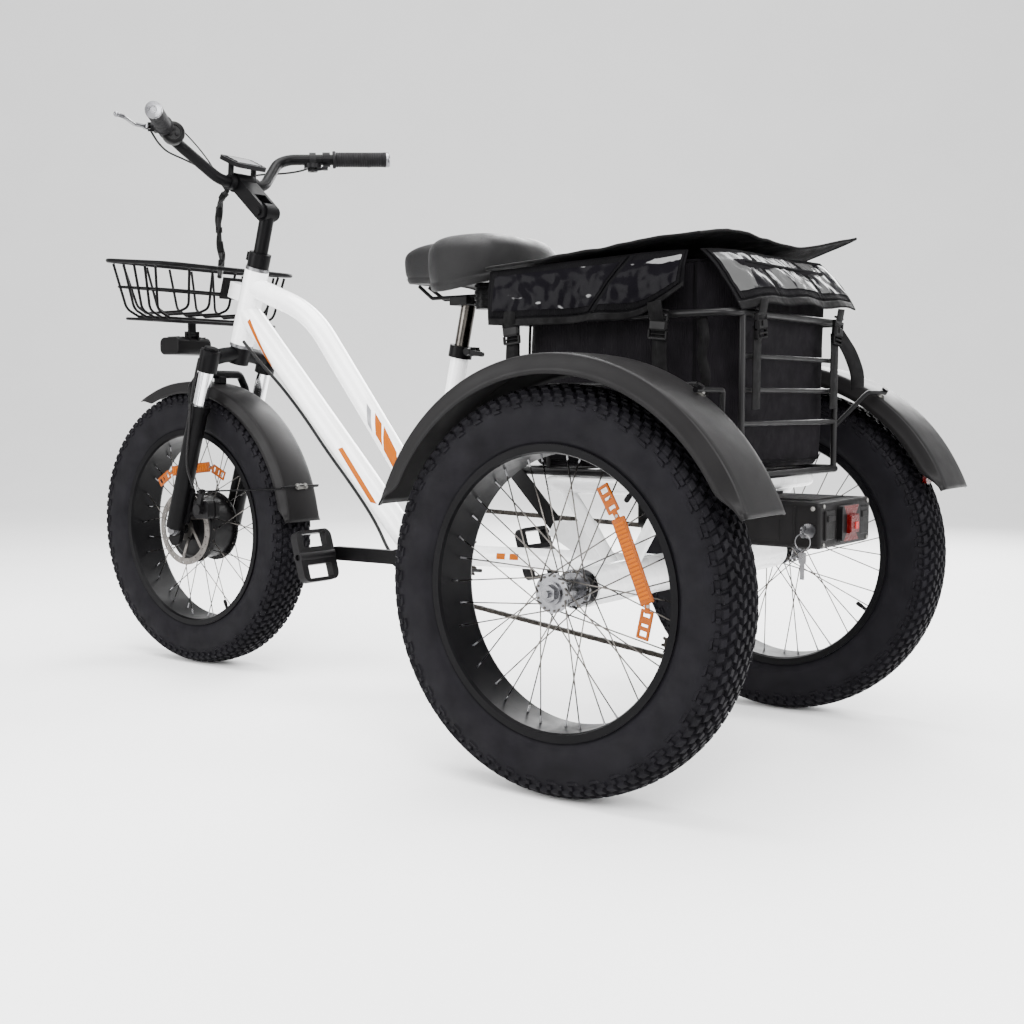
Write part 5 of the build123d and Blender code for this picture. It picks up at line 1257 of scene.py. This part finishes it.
DOWN_A, DOWN_B = at(1065.9, 0, 763), at(588, 0, 274)
TOP_A, TOP_B = at(878, 0, 753), at(557, 0, 356)
for mirror in (1, -1):
    tag = "left" if mirror > 0 else "right"
    down = [("stripe_a", [(0.033, 64), (0.146, 122), (0.146, 142), (0.033, 84)]),
            ("stripe_b", [(0.404, 56), (0.548, 76), (0.534, 100), (0.400, 78)])]
    for label, corners in down:
        decal(f"{label}_{tag}", DOWN_A, DOWN_B, 0.025, [(s, p * mirror) for s, p in corners], orange_decal)
    top = [("slash_grey", grey_decal, [(0.246, 46), (0.264, 46), (0.302, 102), (0.284, 102)]),
           ("slash_a", orange_decal, [(0.272, 34), (0.300, 34), (0.340, 92), (0.312, 92)]),
           ("slash_b", orange_decal, [(0.305, 30), (0.368, 44), (0.420, 112), (0.348, 98)])]
    for label, paint, corners in top:
        decal(f"{label}_{tag}", TOP_A, TOP_B, 0.022, [(s, p * mirror) for s, p in corners], paint)
    boom_a, boom_b = at(574, 0, 284), at(0, 0, 300)
    for k, s in enumerate((0.185, 0.215)):
        corners = [(s, 62), (s + 0.02, 62), (s + 0.02, 96), (s, 96)]
        decal(f"boom_mark_{k}_{tag}", boom_a, boom_b, 0.019, [(d, p * mirror) for d, p in corners],
              orange_decal)


# ---------------------------------------------------------------- chain
CHAIN_Y = -0.045
PITCH = 0.0127


def pitch_radius(teeth):
    """The radius of a sprocket's pitch circle."""
    return PITCH / 2 / math.sin(math.pi / teeth)


def chain_line():
    """The chain's closed line round the ring, the cog and the two pulleys, as evenly spaced points."""
    wheels = [(0.574, 0.282, pitch_radius(44), 1), (0.0, 0.300, pitch_radius(28), 1),
              (0.030, 0.208, pitch_radius(11), -1), (0.052, 0.154, pitch_radius(11), 1)]
    n = len(wheels)
    leave, arrive = [None] * n, [None] * n
    for i in range(n):
        j = (i + 1) % n
        xi, zi, ri, si = wheels[i]
        xj, zj, rj, sj = wheels[j]
        heading = math.atan2(zj - zi, xj - xi) + math.asin((si * ri - sj * rj) / math.hypot(xj - xi, zj - zi))
        right = (math.sin(heading), -math.cos(heading))
        leave[i] = (xi + si * ri * right[0], zi + si * ri * right[1])
        arrive[j] = (xj + sj * rj * right[0], zj + sj * rj * right[1])
    points = []
    for i, (x, z, r, s) in enumerate(wheels):
        a0 = math.atan2(arrive[i][1] - z, arrive[i][0] - x)
        a1 = math.atan2(leave[i][1] - z, leave[i][0] - x)
        sweep = (a1 - a0) % (2 * math.pi) if s > 0 else -((a0 - a1) % (2 * math.pi))
        steps = max(4, int(abs(sweep) * r / 0.001))
        points += [(x + r * math.cos(a0 + sweep * k / steps), z + r * math.sin(a0 + sweep * k / steps))
                   for k in range(steps)]
        bx, bz = arrive[(i + 1) % n]
        ax, az = leave[i]
        length = math.hypot(bx - ax, bz - az)
        steps = max(2, int(length / 0.001))
        points += [(ax + (bx - ax) * k / steps, az + (bz - az) * k / steps) for k in range(steps)]
    return points


def chain_links():
    """Side plates, rollers and pins along the chain's line, one link a pitch."""
    line = chain_line()
    walked = [0.0]
    for a, b in zip(line, line[1:] + line[:1]):
        walked.append(walked[-1] + math.hypot(b[0] - a[0], b[1] - a[1]))
    total = walked[-1]
    count = round(total / PITCH)
    spots, i = [], 0
    for k in range(count):
        want = total * k / count
        while walked[i + 1] < want:
            i += 1
        spots.append(line[i % len(line)])
    verts, faces = [], []
    for k in range(count):
        (ax, az), (bx, bz) = spots[k], spots[(k + 1) % count]
        a, b = Vector((ax + REAR_X, 0, az)), Vector((bx + REAR_X, 0, bz))
        run = (b - a).normalized()
        up = Vector((-run.z, 0, run.x))
        mid = (a + b) / 2
        half = PITCH / 2
        inner = k % 2
        y_in, y_out = (0.0013, 0.0024) if inner else (0.0025, 0.0035)
        outline = []
        for end in (1, -1):
            for q in range(7):
                ang = math.pi * (q / 6 - 0.5)
                outline.append((end * (half + 0.0040 * math.cos(ang)), end * 0.0040 * math.sin(ang)))
        for side in (1, -1):
            n = len(verts)
            for y in (y_in, y_out):
                for u, w in outline:
                    pinch = 0.80 if abs(u) < half * 0.9 else 1.0
                    verts.append(mid + run * u + up * (w * pinch) + Vector((0, CHAIN_Y + side * y, 0)))
            m = len(outline)
            faces.extend((n + i, n + (i + 1) % m, n + m + (i + 1) % m, n + m + i) for i in range(m))
            faces += [tuple(range(n + m, n + 2 * m)), tuple(reversed(range(n, n + m)))]
        joint = a + Vector((0, CHAIN_Y, 0))
        rounds = [turned([(-0.0038, 0.0003), (-0.0038, 0.0017), (0.0038, 0.0017), (0.0038, 0.0003)],
                         joint, (0, 1, 0), 7)]
        if not inner:
            rounds.append(turned([(-0.0012, 0.0020), (-0.0012, 0.0038), (0.0012, 0.0038), (0.0012, 0.0020)],
                                 joint, (0, 1, 0), 10))
        for v, f in rounds:
            m = len(verts)
            verts += v
            faces += [tuple(q + m for q in face) for face in f]
    obj = piece("roller_chain", verts, faces, dark_steel, "frame_body", "dark_steel", smooth=False)
    recalc(obj)
    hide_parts("chain")


chain_links()

# ---------------------------------------------------------------- cables
BUNDLE = [(1100, 22, 1016), (1126, 20, 1003), (1140, 12, 966), (1146, 6, 918), (1141, 2, 874),
          (1127, 24, 838)]
HOSE = [(1092, 112, 664), (1104, 116, 620), (1122, 112, 566), (1140, 102, 516), (1152, 100, 466),
        (1154, 98, 424), (1146, 88, 392)]
LOOM = [(1046, 32, 700), (1010, 30, 664), (968, 6, 612), (900, 3, 546), (832, 5, 474), (764, 3, 406),
        (700, 5, 338), (650, 22, 282), (600, 32, 246), (540, 30, 250), (480, 26, 262), (420, 24, 264)]


def spline_points(points):
    """Points on the cable's own line, read from its spline."""
    line = cable("cable_line", points, 0.0, hose_black, None)
    mesh = bpy.data.meshes.new_from_object(line)
    found = [v.co.copy() for v in mesh.vertices]
    data = line.data
    bpy.data.objects.remove(line)
    bpy.data.curves.remove(data)
    bpy.data.meshes.remove(mesh)
    return found


def handlebar_cables():
    """The bundle from the handlebar to the frame, and the brake hose down the fork."""
    points = [at(*p) for p in BUNDLE]
    bundle = cable("cable_bundle", points, 0.0052, hose_black, None, mesh_it=True)
    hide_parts("steering_cables")
    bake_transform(bundle)
    points = [at(*p) for p in HOSE]
    hose = cable("front_brake_hose", points, 0.0025, hose_black, None, mesh_it=True)
    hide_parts("steering_cables")
    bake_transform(hose)


def cable_wraps():
    """Tape round the bundle, and two thinner cables that wind round it."""
    line = spline_points([at(*p) for p in BUNDLE])
    lengths = [0.0]
    for a, b in zip(line, line[1:]):
        lengths.append(lengths[-1] + (b - a).length)

    def on_line(s):
        """The point at a distance along the bundle."""
        for k in range(len(line) - 1):
            if lengths[k + 1] >= s:
                t = (s - lengths[k]) / (lengths[k + 1] - lengths[k])
                return line[k].lerp(line[k + 1], t)
        return line[-1]

    tape, strands = [], []
    for start, run in ((0.012, 0.014), (0.046, 0.020), (0.088, 0.012), (0.118, 0.024), (0.160, 0.012)):
        if start + run < lengths[-1]:
            tape.append(tube_mesh([on_line(start + run * k / 6) for k in range(7)], 0.0071, 14, sharp=True))
    for phase in (0.0, 2.4):
        points = []
        for k in range(60):
            s = 0.004 + (lengths[-1] - 0.02) * k / 59
            p, ahead = on_line(s), (on_line(s + 0.004) - on_line(s - 0.004)).normalized()
            u = ahead.cross(Vector((0, 1, 0))).normalized()
            v = ahead.cross(u)
            a = phase + s * 42
            points.append(p + (u * math.cos(a) + v * math.sin(a)) * 0.0066)
        strands.append(tube_mesh(points, 0.0019, 8, sharp=True))
    for name, parts, paint in (("bundle_tape", tape, webbing), ("bundle_strands", strands, hose_black)):
        obj = piece(name, *merge(parts), paint, None, "grip_rubber")
        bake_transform(obj)


LEVER_CABLES = {
    "left": [(1084, 228, 1104), (1100, 198, 1088), (1118, 160, 1078), (1126, 110, 1070), (1124, 60, 1056),
             (1112, 34, 1036), (1103, 24, 1018)],
    "right": [(1084, -228, 1104), (1100, -198, 1088), (1118, -160, 1078), (1126, -100, 1068),
              (1120, -40, 1052), (1110, 2, 1034), (1101, 18, 1017)],
    "pod": [(1066, 208, 1110), (1082, 188, 1120), (1100, 150, 1128), (1108, 104, 1106), (1108, 70, 1078),
            (1104, 44, 1046), (1098, 25, 1018)],
}


def lever_cables():
    """The brake, shifter and switch cables along the front of the bar, down to the bundle."""
    parts = [tube_mesh([at(*p) for p in points], 0.0021 if label != "pod" else 0.0015, 8)
             for label, points in LEVER_CABLES.items()]
    obj = piece("lever_cables", *merge(parts), hose_black, None, "grip_rubber")
    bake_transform(obj)


handlebar_cables()
cable_wraps()
lever_cables()
loom = cable("frame_loom", [at(*p) for p in LOOM], 0.0034, hose_black, "frame_body")
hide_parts("frame_cables")


# ---------------------------------------------------------------- grips
def bar_line(side):
    """The outer run of the handlebar on one side: its start, its end and its direction."""
    a, b = at(1120, side * 148, 1106), at(960, side * 318, 1113)
    out = (b - a).normalized()
    return a, b, out


def hand_grips():
    """The ribbed rubber grips and the alloy caps on their ends."""
    rubber_parts, caps = [], []
    for side in (1, -1):
        _, b, out = bar_line(side)
        start = b - out * 0.118
        profile = [(0.0, 0.0118), (0.0, 0.0180), (0.0015, 0.0190), (0.0050, 0.0190), (0.0066, 0.0172)]
        x = 0.0085
        while x < 0.1085:
            profile += [(x, 0.0152), (x + 0.0008, 0.0163), (x + 0.0034, 0.0163), (x + 0.0042, 0.0152)]
            x += 0.0052
        profile += [(0.1120, 0.0162), (0.1160, 0.0168), (0.1180, 0.0160), (0.1180, 0.0118)]
        rubber_parts.append(turned(profile, start, out, 48))
        cap = [(0.1175, 0.002), (0.1175, 0.0155), (0.1195, 0.0162), (0.1245, 0.0160), (0.1262, 0.0148),
               (0.1266, 0.0070), (0.1250, 0.0060), (0.1250, 0.0)]
        caps.append(turned(cap, start, out, 40))
    obj = rounded_fitting("ribbed_grips", rubber_parts, grip_rubber, "handlebar_set", "grip_rubber")
    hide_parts("grips")
    rounded_fitting("grip_end_caps", caps, alloy, "handlebar_set", "hub_alloy")


hand_grips()


def thumb_pod():
    """The round horn and lamp switch, clamped beside the left grip, with three keys on its face."""
    a, _, out = bar_line(1)
    on_bar = a + out * 0.074
    middle = on_bar + Vector((-0.027, 0.006, -0.010))
    face = Vector((-0.80, 0.52, 0.12)).normalized()
    shell = [(-0.0130, 0.0), (-0.0130, 0.0165), (-0.0095, 0.0212), (0.0060, 0.0225), (0.0100, 0.0212),
             (0.0122, 0.0175), (0.0122, 0.0140), (0.0100, 0.0132), (0.0100, 0.0)]
    ring = [(-0.0085, 0.0119), (-0.0085, 0.0160), (-0.0070, 0.0168), (0.0070, 0.0168),
            (0.0085, 0.0160), (0.0085, 0.0119)]
    arm = chamfered((0.020, 0.014, 0.014), 0.002, pose((on_bar * 2 + middle) / 3, middle - on_bar, out))
    parts = [turned(shell, middle, face, 40), turned(ring, on_bar, out, 40, closed=True), arm]
    rounded_fitting("thumb_pod", parts, smooth_plastic, "handlebar_set", "black_plastic")
    keys = []
    key_profile = [(0.0, 0.0), (0.0, 0.0042), (0.0016, 0.0040), (0.0022, 0.0030), (0.0022, 0.0)]
    side = face.cross((0, 0, 1)).normalized()
    up = side.cross(face)
    for k in range(3):
        turn = math.radians(90 + 120 * k)
        spot = middle + face * 0.0105 + (side * math.cos(turn) + up * math.sin(turn)) * 0.0068
        keys.append(turned(key_profile, spot, face, 16))
    piece("thumb_pod_keys", *merge(keys), grip_rubber, "handlebar_set", "black_plastic")


thumb_pod()


# ---------------------------------------------------------------- display, lamp, battery details
def rounded_plate(sx, sy, r, z0, z1, n=8):
    """A flat plate with rounded corners between two heights, as (verts, faces), in its own place."""
    ring = []
    for cx, cy, a0 in ((1, 1, 0), (-1, 1, 90), (-1, -1, 180), (1, -1, 270)):
        for k in range(n + 1):
            a = math.radians(a0 + 90 * k / n)
            ring.append((cx * (sx / 2 - r) + r * math.cos(a), cy * (sy / 2 - r) + r * math.sin(a)))
    verts = []
    for z, s in ((z0, 1.0), (z1 - (z1 - z0) * 0.3, 1.0), (z1, 1.0 - 0.6 * (z1 - z0) / min(sx, sy))):
        verts += [Vector((x * s, y * s, z)) for x, y in ring]
    m = len(ring)
    faces = grid_faces(3, m, wrap_cols=True)
    faces += [tuple(range(2 * m, 3 * m)), tuple(reversed(range(m)))]
    return verts, faces


def placed_plate(place, *size):
    """A rounded plate at a placement."""
    verts, faces = rounded_plate(*size)
    return [place @ v for v in verts], faces


def display_details():
    """The display's glass and its keys on both sides."""
    tilt = math.radians(24)
    spot = at(1078 - 4, 0, 1031 + 42)
    place = pose(spot, (math.cos(tilt), 0, math.sin(tilt)), (-math.sin(tilt), 0, math.cos(tilt)))
    part = placed_plate(place, 0.044, 0.062, 0.004, 0.0040, 0.0056)
    fitting("display_screen", [part], screen_glass, "handlebar_set", "black_plastic")
    keys = []
    for y in (-0.034, 0.034):
        for x in (-0.014, 0.0, 0.014):
            v, f = rounded_plate(0.009, 0.007, 0.002, 0.0040, 0.0062)
            keys.append(([place @ (p + Vector((x, y, 0))) for p in v], f))
    fitting("display_buttons", keys, grip_rubber, "handlebar_set", "black_plastic")


display_details()


def lamp_details():
    """The headlight's lens and the cooling ribs on its top."""
    place = pose(at(1302.3, 0, 696), (0, 1, 0), (1, 0, 0))
    part = placed_plate(place, 0.078, 0.026, 0.010, -0.001, 0.0028)
    fitting("lamp_lens", [part], lamp_lens, "lamp", "chrome")
    ribs = []
    for i in range(7):
        y = (i - 3) * 0.012
        ribs.append(chamfered((0.040, 0.0022, 0.0026), 0.0007, Matrix.Translation(at(1266, y * 1000, 715.6))))
    fitting("lamp_cooling_ribs", ribs, smooth_plastic, "lamp", "black_plastic")


lamp_details()


def battery_details():
    """The battery's panels and screws, and the tail light's lens."""
    low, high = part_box("battery_box")
    face_y = high.y
    parts, screws = [], []

    def bit(cx, cy, cz, sx, sy, sz, e=0.002):
        parts.append(chamfered((sx, sy, sz), e, Matrix.Translation((cx, cy, cz))))
    mid_z = (low.z + high.z) / 2
    bit(REAR_X - 0.150, face_y + 0.0004, mid_z - 0.002, 0.120, 0.0016, 0.046, 0.0007)
    bit(REAR_X - 0.235, face_y + 0.0003, mid_z, 0.0030, 0.0030, 0.058, 0.0008)
    bit(REAR_X - 0.0810, face_y + 0.0003, mid_z, 0.0030, 0.0030, 0.058, 0.0008)
    bit((low.x + high.x) / 2, 0.0, high.z + 0.0006, 0.150, 0.120, 0.0030, 0.001)
    for side in (1, -1):
        bit(low.x - 0.0010, side * 0.064, mid_z, 0.0050, 0.034, 0.044, 0.0015)
        bit(low.x - 0.0040, side * 0.064, mid_z + 0.010, 0.0040, 0.026, 0.010, 0.0015)
    for z in (low.z + 0.006, high.z - 0.006):
        for y in (-0.082, 0.082):
            screws.append(bolt_head(pose((low.x, y, z), (0, 1, 0), (-1, 0, 0)), 0.0026, 0.0015, 0.0034))
    for x in (REAR_X - 0.264, REAR_X - 0.079):
        spot = pose((x, face_y, high.z - 0.009), (1, 0, 0), (0, 1, 0))
        screws.append(bolt_head(spot, 0.0026, 0.0015, 0.0034))
    fitting("battery_panels", parts, battery_case, "battery", "black_plastic")
    fitting("battery_screws", screws, zinc, "battery", "steel")
    lens = at(-289.4, 0, 388)
    part = placed_plate(pose(lens, (0, 1, 0), (-1, 0, 0)), 0.031, 0.025, 0.002, -0.0006, 0.0012)
    fitting("tail_lens", [part], red_lens, "battery", "red_lens")
    cell = pose(lens + Vector((0, -0.005, -0.003)), (0, 1, 0), (-1, 0, 0))
    part = placed_plate(cell, 0.012, 0.011, 0.0012, 0.0010, 0.0024)
    fitting("tail_lens_cell", [part], bright_red, "battery", "red_lens")


battery_details()


def tail_frame():
    """The bezel round the tail lens, in black."""
    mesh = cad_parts["tail_light"].data
    mesh.materials.clear()
    mesh.materials.append(smooth_plastic)
    mesh.materials.append(red_lens)
    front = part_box("tail_light")[0].x
    for poly in mesh.polygons:
        inside = abs(poly.center.y) < 0.0175 and poly.center.x < front + 0.0052
        poly.material_index = 1 if inside else 0


tail_frame()


# ---------------------------------------------------------------- valves
def valve(label, hub, body, angle):
    """The rubber valve stem with its cap."""
    out = Vector((math.cos(angle), 0, math.sin(angle)))
    spot = hub + out * 0.2040
    v, f = turned([(0.004, 0.0048), (0.0, 0.0050), (-0.004, 0.0036), (-0.022, 0.0032),
                   (-0.0225, 0.0039), (-0.031, 0.0039), (-0.033, 0.0030), (-0.033, 0.0)], spot, out, 20)
    recalc(piece(f"{label}_valve", v, f, grip_rubber, body, "tyre_rubber"))


valve("front", FRONT_AXLE, "front_wheel", math.radians(-112))
valve("rear_left", REAR_LEFT, "rear_left_wheel", math.radians(128))
valve("rear_right", REAR_RIGHT, "rear_right_wheel", math.radians(212))

# ---------------------------------------------------------------- floor, light and camera
CAMERA_TURN, CAMERA_DIP = -0.9246, -0.0810
FLOOR_WIDE = 18.0
SWEEP = 4.0
floor_mesh = bpy.data.meshes.new("studio_floor")
floor_verts = []
look = Vector((math.cos(CAMERA_TURN), math.sin(CAMERA_TURN), 0))
beside = Vector((-look.y, look.x, 0))
sections = [(-6.0, 0.0)]
for i in range(13):
    a = i * math.pi / 24
    sections.append((SWEEP + SWEEP * math.sin(a), SWEEP - SWEEP * math.cos(a)))
sections.append((8.0, 7.0))
for d, h in sections:
    for s in (-1, 1):
        p = look * d + beside * (s * FLOOR_WIDE / 2)
        floor_verts.append((p.x, p.y, h))
floor_faces = [(2 * i, 2 * i + 1, 2 * i + 3, 2 * i + 2) for i in range(len(sections) - 1)]
floor_mesh.from_pydata(floor_verts, [], floor_faces)
floor_mesh.polygons.foreach_set("use_smooth", [True] * len(floor_faces))
floor = bpy.data.objects.new("studio_floor", floor_mesh)
bpy.context.scene.collection.objects.link(floor)
floor_paper, floor_shader = new_material("pale_floor", (0.86, 0.86, 0.86), 0.9)
vary(floor_paper, floor_shader, (0.85, 0.85, 0.85), (0.87, 0.87, 0.87), 2)
floor_mesh.materials.append(floor_paper)


def softbox(name, spot, target, size, power):
    """A square area light aimed at a point."""
    data = bpy.data.lights.new(name, "AREA")
    data.shape = "RECTANGLE"
    data.size = size
    data.size_y = size
    data.energy = power
    obj = bpy.data.objects.new(name, data)
    obj.location = spot
    obj.rotation_euler = (Vector(target) - Vector(spot)).to_track_quat("-Z", "Y").to_euler()
    bpy.context.scene.collection.objects.link(obj)


softbox("key", (-2.6, 2.4, 2.6), (0, 0, 0.5), 2.2, 250)
softbox("top", (0.0, 0.2, 3.2), (0, 0, 0.4), 2.6, 260)
softbox("fill", (1.6, 3.2, 1.4), (0.2, 0, 0.5), 2.0, 140)
softbox("back", (0.6, -3.0, 2.2), (0, 0, 0.5), 2.4, 240)
softbox("tail", (-3.4, -0.6, 1.3), (-0.6, 0, 0.5), 1.4, 90)
world = bpy.data.worlds.new("studio")
world.use_nodes = True
world.node_tree.nodes["Background"].inputs["Color"].default_value = (1, 1, 1, 1)
world.node_tree.nodes["Background"].inputs["Strength"].default_value = 1.25
bpy.context.scene.world = world

camera_data = bpy.data.cameras.new("view")
camera_data.lens = 47.15
camera_data.sensor_width = 36.0
camera = bpy.data.objects.new("view", camera_data)
camera.location = (REAR_X - 1.1013, 1.9472, 0.5714)
aim = Vector((math.cos(CAMERA_TURN) * math.cos(CAMERA_DIP), math.sin(CAMERA_TURN) * math.cos(CAMERA_DIP),
              math.sin(CAMERA_DIP)))
camera.rotation_euler = aim.to_track_quat("-Z", "Y").to_euler()
bpy.context.scene.collection.objects.link(camera)
bpy.context.scene.camera = camera
